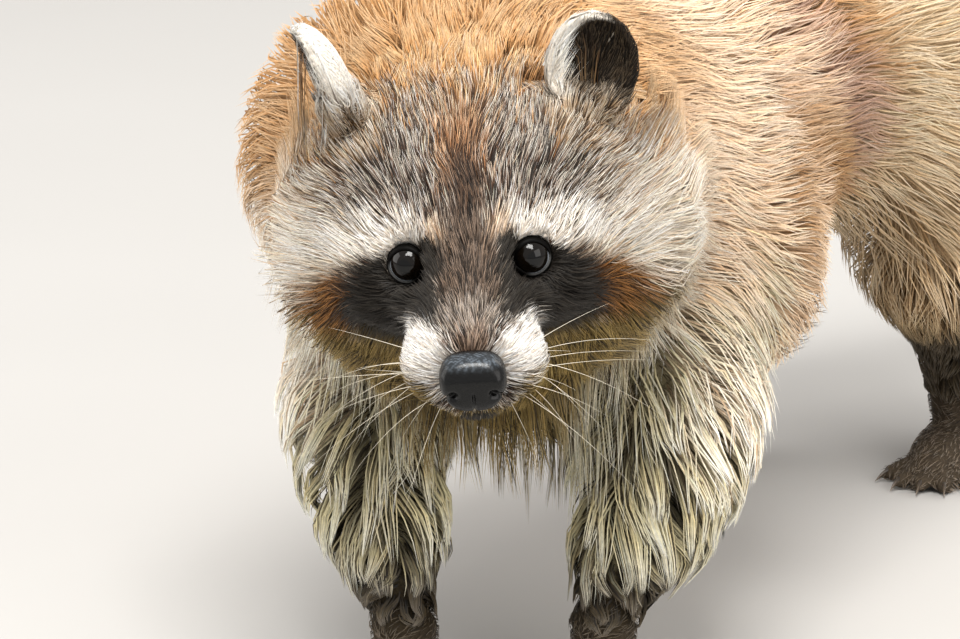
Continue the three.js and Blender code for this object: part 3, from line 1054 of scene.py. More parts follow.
def stretched(coarse: Block, like: Block) -> Array:
    """Return a coarse block's values at the points of a finer one.

    Args:
        coarse: The block that is read.
        like: The block that gives the points.

    Returns:
        One value for each point of the finer block.
    """
    values = coarse.values
    for axis in range(3):
        place = (np.arange(like.values.shape[axis]) + like.low[axis]) * like.step / coarse.step
        place = np.clip(place - coarse.low[axis], 0.0, values.shape[axis] - 1.001)
        cell = place.astype(int)
        part = (place - cell).reshape([-1 if i == axis else 1 for i in range(3)])
        values = np.take(values, cell, axis) * (1.0 - part) + np.take(values, cell + 1, axis) * part
    return values


def read_mesh(mesh: bpy.types.Mesh) -> tuple[Soup, Array]:
    """Return a mesh as triangles and the normals at its points."""
    mesh.calc_loop_triangles()
    points = read(mesh.vertices, "co", 3).astype(float) / MM
    faces = read(mesh.loop_triangles, "vertices", 3, np.int32)
    return Soup(points, faces), read(mesh.vertices, "normal", 3).astype(float)


@dataclass
class Unwrap:
    """A flat map of the skin's own shape, which tells each tuft its place.

    Attributes:
        soup: The skin.
        step: The size of the map's faces in millimetres.
    """

    soup: Soup
    step: float = 8.0
    tree: BVHTree = field(init=False)

    def __post_init__(self) -> None:
        """Unwrap a simpler copy of the skin."""
        simple = surface(self.soup.field(self.step, 3))
        copy = mesh_object("skin_map", simple.points, simple.faces)
        bpy.context.view_layer.objects.active = copy
        copy.select_set(True)
        bpy.ops.object.mode_set(mode="EDIT")
        bpy.ops.mesh.select_all(action="SELECT")
        bpy.ops.uv.smart_project(angle_limit=math.radians(66.0), island_margin=0.004)
        bpy.ops.object.mode_set(mode="OBJECT")
        flat = read(copy.data.uv_layers.active.data, "uv", 2).reshape(-1, 4, 2)
        halves = ([0, 1, 2], [0, 2, 3])
        self.faces = np.vstack([simple.faces[:, half] for half in halves])
        self.flat = np.vstack([flat[:, half] for half in halves])
        self.points = simple.points
        self.tree = BVHTree.FromPolygons(simple.points.tolist(), self.faces.tolist())
        bpy.data.objects.remove(copy)

    def places(self, points: Array) -> Array:
        """Return where each point lies on the map.

        Args:
            points: Places in millimetres, one in each row.

        Returns:
            Two numbers for each point.
        """
        found = np.array([self.tree.find_nearest(point)[2] for point in points.tolist()])
        a, b, c = (self.points[self.faces[found, i]] for i in range(3))
        one, two, out = b - a, c - a, points - a
        pairs = ((one, one), (one, two), (two, two), (out, one), (out, two))
        dot = [np.einsum("ij,ij->i", p, q) for p, q in pairs]
        under = np.maximum(dot[0] * dot[2] - dot[1] ** 2, 1e-9)
        v = np.clip((dot[2] * dot[3] - dot[1] * dot[4]) / under, 0.0, 1.0)
        w = np.clip((dot[0] * dot[4] - dot[1] * dot[3]) / under, 0.0, 1.0 - v)
        weights = np.stack([1.0 - v - w, v, w], axis=1)
        return np.sum(self.flat[found] * weights[:, :, None], axis=1)


# ---- coat
@dataclass(frozen=True)
class Cut:
    """How one part of the coat is grown.

    Attributes:
        name: The name of its pieces.
        slot: The name of a material slot, which is not used.
        count: How many tufts it has.
        rings: How many lengths each tuft has.
        width: A tuft's greatest width in millimetres.
        spare: Its length where the coat is thinnest.
        stretch: How much longer it is than the coat is deep.
        clump: How far tufts draw together at their tips.
        spacing: The distance between the tufts that others draw to.
        wave: How far it waves to the side, in millimetres.
        stray: How far its direction strays, in radians.
        vary: How far one tuft's shade differs from the next.
        arch: How soon a tuft comes up to the outline.
        gather: How soon tufts come together, where less is sooner.
        seen: The part of a tuft that shows, from root to tip, where its mark is read.
        hang: How far its tips leave the outline, from 0 to 1, where 1 hangs free.
        round: How round a tuft is lit, where 0 is lit like the skin under it.
        loose: How much further out one tip stands than the next, as a share of the coat's depth.
        pieces: How many pieces it is parted into.
    """

    name: str
    slot: str
    count: int
    rings: int
    width: float
    spare: float = 3.2
    stretch: float = 1.5
    clump: float = 0.2
    spacing: float = 5.0
    wave: float = 0.0
    stray: float = 0.14
    vary: float = 0.1
    arch: float = 2.6
    gather: float = 1.2
    seen: float = 0.5
    hang: float = 0.0
    loose: float = 0.1
    round: float = 0.4
    pieces: int = 1


FACE_CUT = Cut(
    "coat_face", "face_fur", 37000, 2, 0.45, spare=4.2, clump=0.3, stray=0.15, vary=0.24,
    arch=2.4, seen=0.7, loose=0.5, pieces=3
)
RUFF_CUT = Cut(
    "coat_cheeks", "face_fur", 25000, 2, 0.62, clump=0.65, spacing=7.0, wave=2.2, stray=0.2,
    arch=5.0, seen=0.7, hang=0.45, round=0.25, pieces=2
)
BODY_CUT = Cut(
    "coat_body", "body_fur", 32000, 2, 0.85, clump=0.45, spacing=10.0, wave=1.2, stray=0.13,
    vary=0.08, arch=5.0, hang=0.2, round=0.1, pieces=3
)
FORELEG_CUT = Cut(
    "coat_forelegs", "leg_fur", 7000, 5, 0.8, stretch=1.8, clump=0.94, spacing=7.5, wave=3.6, stray=0.16,
    vary=0.15, arch=4.0, gather=0.6, hang=0.45, pieces=2
)
CHEST_CUT = Cut(
    "coat_chest", "leg_fur", 2700, 5, 0.6, spare=50.0, stretch=0.0, clump=0.85, spacing=8.0, wave=4.0,
    stray=0.15, vary=0.2, gather=0.35, hang=1.0
)
HINDLEG_CUT = Cut(
    "coat_hindlegs", "leg_fur", 8000, 2, 0.9, stretch=1.6, clump=0.6, spacing=8.0, wave=2.0, stray=0.22,
    hang=0.25
)
TAIL_CUT = Cut(
    "coat_tail", "tail_fur", 8000, 2, 1.0, clump=0.3, spacing=8.0, wave=1.0, stray=0.18
)
EAR_CUT = Cut(
    "coat_ears", "ear_fur", 7500, 2, 0.32, spare=5.5, stretch=1.0, clump=0.1, spacing=3.0, stray=0.08,
    vary=0.05, seen=0.0, round=0.1
)
EAR_FOOT_CUT = Cut(
    "coat_ear_feet", "ear_fur", 3200, 3, 0.42, spare=12.0, stretch=0.0, clump=0.4, spacing=4.0, wave=0.8,
    stray=0.2, vary=0.2, seen=0.4
)
LID_CUT = Cut("coat_lids", "face_fur", 900, 2, 0.26, spare=2.0, stretch=1.0, clump=0.0, spacing=2.0)
PAW_CUT = Cut(
    "coat_paws", "paw_skin", 4500, 2, 0.5, spare=5.0, stretch=1.0, clump=0.3, spacing=4.0, stray=0.25
)
HEAD_CUTS = (FACE_CUT, RUFF_CUT)
LEG_CUTS = (FORELEG_CUT, CHEST_CUT)
CUTS = (*HEAD_CUTS, BODY_CUT, *LEG_CUTS, HINDLEG_CUT, TAIL_CUT, EAR_CUT, EAR_FOOT_CUT, LID_CUT, PAW_CUT)
TUFT_PATCH = 0.003
LENGTH_POWER = 1.35
LOW_COATS = {EAR_CUT: 1.0, EAR_FOOT_CUT: 3.0, LID_CUT: 0.4, PAW_CUT: 1.4}


@dataclass
class Coat:
    """Grows solid tufts on the skin, out to the outline.

    Attributes:
        animal: The measured animal.
        markings: The coat's colours.
        skin: The finished skin.
        unwrap: The map of the skin's shape.
        seed: Chooses every random draw.
    """

    animal: Animal
    markings: Markings
    skin: Skin
    unwrap: Unwrap
    seed: int = 7

    def __post_init__(self) -> None:
        """Measure the skin's faces once."""
        self.head, self.outline = self.animal.head, self.animal.outline
        soup, self.draw = self.skin.soup, np.random.default_rng(self.seed)
        corners = soup.points[soup.faces]
        cross = np.cross(corners[:, 1] - corners[:, 0], corners[:, 2] - corners[:, 0])
        self.area = span(cross) / 2.0
        self.facing = unit(cross)
        self.middles = corners.mean(axis=1)
        self.share = self.animal.part_shares(self.middles)
        self.on_ear = ear_share(self.head, self.middles)
        self.by_ear = ear_share(self.head, self.middles, 2.5)
        self.covered = self.outline.at(self.middles) < 0.3
        self.on_paw = ramp(self.middles[:, 2], 40.0, 34.0)
        self.eyes = np.minimum(
            *(span(self.middles - centre_of(name)) for name in EYES)
        )

    def density(self, cut: Cut) -> Array:
        """Return how thickly each face of the skin is set with a cut's tufts.

        Args:
            cut: The part of the coat.

        Returns:
            One number for each face of the skin.
        """
        share, paws = self.share, self.on_paw
        side, back, up = self.head.local(self.middles).T
        aside, far, height = self.middles.T
        face = share[Flesh.HEAD] * ramp(back, 66.0, 40.0) * ramp(np.abs(side), 66.0, 50.0)
        face = face * ramp(up, -62.0, -44.0) * (1.0 - ramp(up, -26.0, -46.0) * ramp(back, -30.0, 0.0))
        haired = (1.0 - self.bare()) * self.covered * (1.0 - self.on_ear)
        legs = share[Flesh.FORELEG_LEFT] + share[Flesh.FORELEG_RIGHT]
        thighs = share[Flesh.HINDLEG_LEFT] + share[Flesh.HINDLEG_RIGHT]
        if cut is FACE_CUT:
            thick = face * haired * (0.75 + 0.5 * ramp(back, 10.0, -20.0))
        elif cut is RUFF_CUT:
            thick = (share[Flesh.HEAD] - face) * haired
        elif cut is BODY_CUT:
            thick = share[Flesh.NECK] * 1.2 + share[Flesh.TRUNK] * (0.7 + 0.5 * ramp(far, 60.0, -120.0))
        elif cut is FORELEG_CUT:
            thick = legs * (1.0 - paws)
        elif cut is HINDLEG_CUT:
            thick = thighs * (1.0 - paws)
        elif cut is TAIL_CUT:
            thick = share[Flesh.TAIL]
        elif cut is CHEST_CUT:
            left, right = (np.array(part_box(f"foreleg_{name}")) / MM for name in SIDES)
            between = ramp(aside, right[0, 0] + 10.0, right[0, 0] + 30.0)
            between = between * ramp(aside, left[1, 0] - 10.0, left[1, 0] - 30.0)
            chest = share[Flesh.NECK] + share[Flesh.TRUNK] + share[Flesh.HEAD] * ramp(up, -50.0, -60.0)
            thick = chest * between * ramp(self.facing[:, 2], 0.1, -0.4)
            thick = thick * ramp(far, left[1, 1] + 30.0, left[1, 1]) * ramp(height, 85.0, 105.0)
        elif cut is EAR_CUT:
            thick = np.maximum(self.on_ear, 0.8 * self.by_ear)
        elif cut is EAR_FOOT_CUT:
            stub = ear_share(self.head, self.middles, 16.0) * ~self.covered
            around = ear_share(self.head, self.middles, 8.0) * share[Flesh.HEAD]
            thick = np.maximum(stub, 0.5 * around) * (1.0 - self.on_ear)
            thick = (thick + 0.8 * self.on_ear * self._ear_foot()) * ramp(np.abs(side), 66.0, 58.0)
        else:
            wrist = (legs + thighs) * ramp(height, 52.0, 42.0)
            thick = (paws + wrist) * ramp(height, 3.0, 9.0) * ramp(self.facing[:, 2], -0.5, 0.1)
        return np.where(thick > 0.1, thick, 0.0)

    def _ear_foot(self) -> Array:
        """Return 1 on the lowest part of either ear."""
        total = np.zeros(len(self.middles))
        for _, place in ear_places(self.head, self.middles):
            total += (span(place) < EAR_REACH) * ramp(place[:, 2], -11.0, -16.0)
        return total

    def bare(self) -> Array:
        """Return 1 where no hair grows: on the nose, the lids and the lips."""
        nose = self.head.local(self.middles) - np.array([0.0, -57.0, -21.5])
        near_nose = ramp(span(nose / np.array([12.2, 8.0, 10.5])), 1.12, 1.0)
        return np.maximum(near_nose, ramp(self.eyes, 7.8, 7.3))

    def grow(self, cut: Cut) -> list[Piece]:
        """Grow one part of the coat and return its pieces.

        Args:
            cut: The part of the coat.

        Returns:
            The pieces, not yet dressed.
        """
        roots, facing = self._roots(cut)
        paths = self._paths(cut, roots, facing)
        paths = self._clumped(cut, paths)
        paths = self._kept_in(paths, 2.5 + 14.0 * self._hang(cut, roots)) if cut.hang < 1.0 else paths
        clear = self._clear_of_eyes(paths)
        if cut in LOW_COATS:
            clear &= self.skin.ground.at(paths[:, -1]) < LOW_COATS[cut] + 1.2
        else:
            clear &= self._clear_of_ears(paths, 8.0 if cut in HEAD_CUTS else 0.0)
        roots, facing, paths = roots[clear], facing[clear], paths[clear]
        stray = np.clip(self.draw.normal(0.0, 0.6, len(roots)), -1.5, 1.5)
        bands = self.markings.bands(mix(paths[:, 0], paths[:, -1], cut.seen), stray)
        bands = self._varied(cut, bands, roots)
        flat = self.unwrap.places(roots)
        axis = 0 if cut in (*HEAD_CUTS, FORELEG_CUT) else 1
        order = np.argsort(roots[:, axis], kind="stable")
        made = []
        for number, chosen in enumerate(np.array_split(order, cut.pieces)):
            label = f"{cut.name}_{number + 1}" if cut.pieces > 1 else cut.name
            made.append(self._piece(label, cut, paths[chosen], facing[chosen], bands[chosen], flat[chosen]))
        return made

    def _roots(self, cut: Cut) -> tuple[Array, Array]:
        """Return evenly drawn places on the skin and the skin's direction there.

        Args:
            cut: The part of the coat.

        Returns:
            The places and a unit direction for each.
        """
        if cut is LID_CUT:
            return self._lid_roots(cut.count // 2)
        weight = self.area * self.density(cut)
        code = np.floor((self.middles - self.middles.min(axis=0)) / 4.0).astype(np.int64)
        order = np.lexsort((code[:, 0], code[:, 2], code[:, 1]))
        total = np.cumsum(weight[order])
        marks = (np.arange(cut.count) + self.draw.uniform(size=cut.count)) / cut.count * total[-1]
        faces = order[np.minimum(np.searchsorted(total, marks), len(total) - 1)]
        a, b = self.draw.uniform(size=(2, cut.count))
        flip = a + b > 1.0
        a, b = np.where(flip, 1.0 - a, a), np.where(flip, 1.0 - b, b)
        corners = self.skin.soup.points[self.skin.soup.faces[faces]]
        place = corners[:, 0] + (corners[:, 1] - corners[:, 0]) * a[:, None]
        place += (corners[:, 2] - corners[:, 0]) * b[:, None]
        normals = self.skin.normals[self.skin.soup.faces[faces]].mean(axis=1)
        return place, unit(normals)

    def _lid_roots(self, count: int) -> tuple[Array, Array]:
        """Return places on the rims of both eyes and the rims' direction there.

        Args:
            count: How many places each eye gets.

        Returns:
            The places and a unit direction for each.
        """
        places, ways = [], []
        for side in SIDES:
            eye = Eye(self.animal, side)
            turn = self.draw.uniform(0.9 * math.pi, 2.1 * math.pi, count)
            polar = eye.edge(turn) + np.radians(self.draw.uniform(5.0, 24.0, count))
            radius = np.interp(np.degrees(polar - eye.edge(turn)), *eye.rim())
            places.append(eye.place(polar, turn, eye.radius + radius))
            ways.append(unit(places[-1] - eye.centre))
        return np.vstack(places), np.vstack(ways)

    def _paths(self, cut: Cut, roots: Array, facing: Array) -> Array:
        """Return the middle line of each tuft, laid along the body out to the outline.

        Args:
            cut: The part of the coat.
            roots: The places that the tufts grow from.
            facing: The skin's direction at each root.

        Returns:
            One line of places for each tuft.
        """
        low = cut in LOW_COATS
        height = np.full(len(roots), LOW_COATS[cut]) if low else np.maximum(-self.outline.at(roots), 0.8)
        near_eye = np.min([span(roots - centre_of(name)) for name in EYES], axis=0)
        lies = 1.0 - 0.72 * ramp(near_eye, 16.0, 10.5)
        length = (cut.spare + cut.stretch * height * lies) * self.draw.uniform(0.7, 1.2, len(roots))
        if cut is EAR_CUT:
            length = length * (0.85 + 1.9 * self._inner_rim(roots))
        if cut is RUFF_CUT:
            by_ear = ramp(ear_distance(self.head, roots), 3.2, 1.6)
            length = length * (1.0 + 0.8 * self._under_jaw(roots) - 0.6 * by_ear)
        hang = self._hang(cut, roots)
        rise = 1.0 + cut.loose * self.draw.uniform(-0.6, 1.4, len(roots))
        way = self._stray_way(cut, self._lie(cut, roots, facing), facing, roots)
        paths = [roots - 0.4 * facing]
        here, out, gone = roots, facing, 0.0
        for ring in range(1, cut.rings + 1):
            share = (ring / cut.rings) ** LENGTH_POWER
            run = length * (share - gone)
            climb = 0.25 * height * (share - gone)
            here = here + way * run[:, None] + out * climb[:, None]
            lift = (1.0 - (1.0 - share) ** cut.arch) * rise
            gone = share
            if cut is LID_CUT:
                gap = np.full(len(here), 0.12)
            elif low:
                out = self.skin.ground.slope(here, 1.5)
                gap = np.clip(height * lift - self.skin.ground.at(here), -0.4, 3.0)
            else:
                out = self.outline.slope(here, 3.0)
                gap = -height * (1.0 - lift * lies) - self.outline.at(here)
                gap = np.clip(np.where(gap < 0.0, gap * (1.0 - hang * share), gap), -12.0, 26.0)
                gap = gap if cut.hang < 1.0 else np.zeros(len(here))
            here = here + out * gap[:, None]
            way = unit(way - (1.0 - hang)[:, None] * out * np.sum(way * out, axis=1, keepdims=True))
            paths.append(here)
        return np.stack(paths, axis=1)

    def _hang(self, cut: Cut, roots: Array) -> Array:
        """Return how free each tuft hangs, which is most under the jaw.

        Args:
            cut: The part of the coat.
            roots: The places that the tufts grow from.

        Returns:
            One number for each tuft.
        """
        hang = np.full(len(roots), cut.hang)
        if cut is RUFF_CUT:
            hang = mix(hang, 0.97, self._under_jaw(roots))
        return hang

    def _under_jaw(self, roots: Array) -> Array:
        """Return 1 on the lower edge of the head, behind the mouth."""
        _, back, up = self.head.local(roots).T
        return ramp(up, -22.0, -46.0) * ramp(back, -34.0, -14.0)

    def _inner_rim(self, roots: Array) -> Array:
        """Return 1 on the front of an ear's inner rim, where its hair is longest.

        Args:
            roots: The places that the tufts grow from.

        Returns:
            One number from 0 to 1 for each root.
        """
        total = np.zeros(len(roots))
        for ear, place in ear_places(self.head, roots):
            place = place / EAR_HALF
            inward = -math.copysign(1.0, ear.at[0]) * place[:, 0]
            near = span(place) < 1.6
            total += near * ramp(inward, 0.1, 0.6) * ramp(place[:, 1], 0.3, -0.3)
        return total

    def _lie(self, cut: Cut, roots: Array, facing: Array) -> Array:
        """Return the way each tuft lies.

        Args:
            cut: The part of the coat.
            roots: The places that the tufts grow from.
            facing: The skin's direction at each root.

        Returns:
            One direction for each tuft.
        """
        way = self.animal.lie(roots)
        if cut is EAR_CUT:
            rim = self._inner_rim(roots)
            for ear, place in ear_places(self.head, roots):
                spread = place * np.array([0.7, 0.0, 0.25]) + np.array([0.0, 2.0, 9.0])
                spread = mix(spread, np.array([math.copysign(6.0, ear.at[0]), 1.0, 8.0]), rim[:, None])
                outward = self.head.turned(unit(spread) @ ear.axes())
                near = span(place) < 36.0
                way = np.where(near[:, None], outward, way)
        if cut is EAR_FOOT_CUT:
            for ear, place in ear_places(self.head, roots):
                spread = unit(place * np.array([0.35, 0.0, 0.0]) + np.array([0.0, -1.0, 9.0]))
                rising = unit(self.head.turned(spread @ ear.axes()) + 0.5 * way)
                near = span(place) < 48.0
                way = np.where(near[:, None], rising, way)
        if cut is PAW_CUT:
            way = np.broadcast_to(unit(np.array([0.0, -1.0, -0.35])), way.shape)
        if cut is CHEST_CUT:
            return unit(np.array([0.0, 0.1, -1.0]) + 0.25 * facing)
        if cut is LID_CUT:
            for side in SIDES:
                gaze, off = gaze_of(self.head, side), roots - centre_of(f"eye_{side}")
                near = span(off) < 20.0
                way = np.where(near[:, None], unit(off - gaze * (off @ gaze)[:, None]) - 0.5 * gaze, way)
        return unit(way - facing * np.sum(way * facing, axis=1, keepdims=True))

    def _stray_way(self, cut: Cut, way: Array, facing: Array, roots: Array) -> Array:
        """Return the ways turned a little, alike for neighbours and each on its own."""
        across = np.cross(facing, way)
        shared = 1.3 * cut.stray * ripple(roots, 6.0 * cut.spacing, 5)
        turn = self.draw.normal(0.0, cut.stray, len(way)) + shared
        return unit(way * np.cos(turn)[:, None] + across * np.sin(turn)[:, None])

    def _clumped(self, cut: Cut, paths: Array) -> Array:
        """Draw tufts together towards the tips of a few, which wave.

        Args:
            cut: The part of the coat.
            paths: The tufts' middle lines, from root to tip.

        Returns:
            The lines after they are drawn together.
        """
        count = len(paths)
        led = max(8, int(count / max(2.0, self._crowd(cut, paths))))
        leaders = self.draw.choice(count, led, replace=False)
        nearest = nearest_of(paths[:, 0], paths[leaders, 0])
        away = paths[:, 0] - paths[leaders, 0][nearest]
        share = np.linspace(0.0, 1.0, paths.shape[1])
        lead = paths[leaders].copy()
        along = unit(lead[:, -1] - lead[:, 0])
        out = self.outline.slope(lead[:, -1], 3.0)
        side = unit(np.cross(out, along))
        phase = self.draw.uniform(0.0, PHASES, len(leaders))
        swing = np.sin(phase[:, None] + share[None, :] * 4.6) - np.sin(phase)[:, None]
        lead = lead + side[:, None, :] * (cut.wave * swing * share)[:, :, None]
        draw_in = cut.clump * share**cut.gather
        loose = self.draw.uniform(0.75, 1.15, count)
        near = ramp(span(away), 2.6 * cut.spacing, 1.6 * cut.spacing)
        pull = np.clip(draw_in[None, :] * (loose * near)[:, None], 0.0, 1.0)[:, :, None]
        target = lead[nearest] + 0.1 * away[:, None]
        return mix(paths, target, pull)

    def _crowd(self, cut: Cut, paths: Array) -> float:
        """Return how many tufts there are for each one that leads."""
        area = 500.0 if cut is LID_CUT else float((self.area * self.density(cut)).sum())
        return len(paths) * cut.spacing**2 / max(area, 1.0)

    def _kept_in(self, paths: Array, room: Array) -> Array:
        """Return the paths with no tip further out of the outline than room.

        Args:
            paths: The tufts' middle lines, from root to tip.
            room: How far past the outline a tip may lie, in millimetres.

        Returns:
            The lines after they are drawn in.
        """
        paths = paths.copy()
        for ring in range(1, paths.shape[1]):
            here = paths[:, ring]
            proud = np.clip(self.outline.at(here) - room * ring / paths.shape[1], 0.0, 30.0)
            proud = proud * (1.0 - ear_share(self.head, here))
            here = here - self.outline.slope(here, 3.0) * proud[:, None]
            here[:, 2] = np.maximum(here[:, 2], 0.6)
            paths[:, ring] = here
        return paths

    def _clear_of_eyes(self, paths: Array) -> Array:
        """Return which tufts leave the eyes free.

        Args:
            paths: The tufts' middle lines, from root to tip.

        Returns:
            True for each tuft that stays.
        """
        clear = np.ones(len(paths), bool)
        for side in SIDES:
            off = paths - centre_of(f"eye_{side}")
            far = span(off)
            ahead = np.sum(off * gaze_of(self.head, side), axis=2) / np.maximum(far, 1e-6)
            clear &= ~((far < 12.5) & (ahead > math.cos(math.radians(54.0)))).any(axis=1)
        return clear

    def _clear_of_ears(self, paths: Array, wide: float) -> Array:
        """Return which tufts do not stand up in front of an ear, or wide millimetres beside it.

        Args:
            paths: The tufts' middle lines, from root to tip.
            wide: The room kept beside an ear, in millimetres.

        Returns:
            True for each tuft that stays.
        """
        clear = np.ones(len(paths), bool)
        for _, place in ear_places(self.head, paths[:, -1]):
            ahead = (np.abs(place[:, 0]) < EAR_HALF[0] + wide) & (place[:, 1] < 14.0)
            ahead &= place[:, 1] > -22.0 - 2.0 * wide
            clear &= ~(ahead & (place[:, 2] > -11.0) & (place[:, 2] < 26.0 + wide))
        return clear

    def _varied(self, cut: Cut, bands: Array, roots: Array) -> Array:
        """Return the colours with each tuft a little lighter, darker or warmer.

        Args:
            cut: The part of the coat.
            bands: Each tuft's three colours and its share of dark hairs.
            roots: The places that the tufts grow from.

        Returns:
            The same, after the change.
        """
        count = len(bands)
        light = np.exp(self.draw.normal(0.0, cut.vary, count))
        patchy = 1.0 + 1.2 * ripple(roots, 2.8, 31)
        dark_tip = self.draw.uniform(size=count) < bands[:, 3, 0] * patchy
        warm = self.draw.normal(0.0, 0.03, count)
        cast = np.stack([1.0 + warm, np.ones(count), 1.0 - 1.5 * warm], axis=1)
        bands = bands * (light[:, None] * cast)[:, None, :]
        bands[dark_tip, 1:3] = mix(bands[dark_tip, :1], bands[dark_tip, 1:3], 0.06)
        return np.clip(bands, 0.0, 0.94)

    def _piece(
        self,
        label: str,
        cut: Cut,
        paths: Array,
        facing: Array,
        bands: Array,
        flat: Array,
    ) -> Piece:
        """Turn middle lines into closed three-sided tufts and return the object.

        Args:
            label: The piece's name.
            cut: The part of the coat.
            paths: The tufts' middle lines, from root to tip.
            facing: The skin's direction at each root.
            bands: Each tuft's three colours and its share of dark hairs.
            flat: Each tuft's place on the skin's flat map.

        Returns:
            The piece, not yet dressed.
        """
        count, rings = len(paths), cut.rings
        forward = unit(np.gradient(paths, axis=1))
        side = unit(np.cross(forward, facing[:, None, :]))
        top = np.cross(side, forward)
        girth = np.interp(np.linspace(0.0, 1.0, rings + 1), [0.0, 0.4, 0.75, 1.0], [0.75, 1.0, 0.7, 0.0])
        half = 0.5 * cut.width * self.draw.uniform(0.7, 1.3, (count, 1)) * girth[None, :rings]
        angles = np.radians([90.0, 210.0, 330.0])
        reach = side[:, :rings, None, :] * np.cos(angles)[None, None, :, None]
        reach = reach + 0.75 * top[:, :rings, None, :] * np.sin(angles)[None, None, :, None]
        body = paths[:, :rings, None, :] + reach * half[:, :, None, None]
        points = np.concatenate([body.reshape(count, rings * 3, 3), paths[:, rings:]], axis=1)
        soft = unit(cut.round * reach + facing[:, None, None, :])
        normals = np.concatenate([soft.reshape(count, rings * 3, 3), facing[:, None, :]], axis=1)
        share = np.linspace(0.0, 1.0, rings + 1) ** LENGTH_POWER
        low = np.clip(share * 2.0, 0.0, 1.0)[None, :, None]
        high = np.clip(share * 2.0 - 1.0, 0.0, 1.0)[None, :, None]
        colour = mix(mix(bands[:, None, 0], bands[:, None, 1], low), bands[:, None, 2], high)
        colours = np.concatenate([np.repeat(colour[:, :rings], 3, axis=1), colour[:, rings:]], axis=1)
        patch = [[c, ring / rings - 0.5] for ring in range(rings) for c in (0.0, -1.0, 1.0)] + [[0.0, 0.5]]
        places = flat[:, None, :] + TUFT_PATCH * np.array(patch)[None] * np.array([0.5, 1.0])
        faces = tuft_faces(rings)
        every = (faces[None] + (np.arange(count) * (rings * 3 + 1))[:, None, None]).reshape(-1, 3)
        flat_rows = (points.reshape(-1, 3), every, colours.reshape(-1, 3), normals.reshape(-1, 3))
        return mesh_object(label, *flat_rows, places.reshape(-1, 2))


def tuft_faces(rings: int) -> Array:
    """Return the triangles of one closed three-sided tuft with a pointed end."""
    faces = [(0, 1, 2)]
    for ring in range(rings - 1):
        for corner in range(3):
            a, b = ring * 3 + corner, ring * 3 + (corner + 1) % 3
            faces += [(a, b + 3, b), (a, a + 3, b + 3)]
    last = (rings - 1) * 3
    faces += [(last + corner, rings * 3, last + (corner + 1) % 3) for corner in range(3)]
    return np.array(faces)


def nearest_of(points: Array, chosen: Array) -> Array:
    """Return the number of the chosen place that is nearest to each point."""
    found = []
    size = (chosen**2).sum(axis=1)
    for batch in np.array_split(points, max(1, len(points) // 2000)):
        found.append(np.argmin(size[None] - 2.0 * batch @ chosen.T, axis=1))
    return np.concatenate(found)


# ---- finishes
@dataclass
class Wiring:
    """Adds nodes to a tree and joins them.

    Attributes:
        tree: The tree.
    """

    tree: bpy.types.NodeTree

    def socket(self, name: str, kind: str, value: float | tuple | None = None) -> None:
        """Add a named output to the tree, or a named input where a value is given."""
        way = "OUTPUT" if value is None else "INPUT"
        made = self.tree.interface.new_socket(name=name, in_out=way, socket_type=f"NodeSocket{kind}")
        if value:
            made.default_value = value

    def add(self, kind: str, inputs: dict | None = None, **settings: object) -> bpy.types.Node:
        """Add a node.

        Args:
            kind: The node's type.
            inputs: A value for each input, or the node and the output that it is joined to.
            settings: The node's own settings.

        Returns:
            The node.
        """
        node = self.tree.nodes.new(kind)
        for name, value in settings.items():
            setattr(node, name, value)
        self.feed(node, inputs or {})
        return node

    def feed(self, node: bpy.types.Node, inputs: dict) -> None:
        """Set a node's inputs, or join them to other nodes' outputs."""
        for name, value in inputs.items():
            if isinstance(value, tuple) and isinstance(value[0], bpy.types.Node):
                self.tree.links.new(value[0].outputs[value[1]], node.inputs[name])
            else:
                node.inputs[name].default_value = value


def hair_grain() -> bpy.types.NodeTree:
    """Return the group that gives hair and skin their fine change of shade and height.

    Returns:
        A group from Colour, Scale and Amount to Colour and Height.
    """
    made = bpy.data.node_groups.get("Hair grain")
    if made:
        return made
    made = bpy.data.node_groups.new("Hair grain", "ShaderNodeTree")
    group = Wiring(made)
    group.socket("Colour", "Color", (0.5, 0.5, 0.5, 1.0))
    group.socket("Scale", "Float", 600.0)
    group.socket("Amount", "Float", 0.25)
    group.socket("Colour", "Color")
    group.socket("Height", "Float")
    entry = group.add("NodeGroupInput")
    place = group.add("ShaderNodeTexCoord")
    noise = group.add(
        "ShaderNodeTexNoise", {"Detail": 3.0, "Vector": (place, "Object"), "Scale": (entry, "Scale")}
    )
    spread = group.add(
        "ShaderNodeMapRange",
        {"Value": (noise, "Fac"), "From Min": 0.3, "From Max": 0.7, "To Min": -0.5, "To Max": 0.5},
    )
    amount = group.add(
        "ShaderNodeMath", {0: (spread, "Result"), 1: (entry, "Amount"), 2: 1.0}, operation="MULTIPLY_ADD"
    )
    tinted = group.add(
        "ShaderNodeVectorMath", {0: (entry, "Colour"), "Scale": (amount, "Value")}, operation="SCALE"
    )
    group.add("NodeGroupOutput", {"Colour": (tinted, "Vector"), "Height": (noise, "Fac")})
    return made


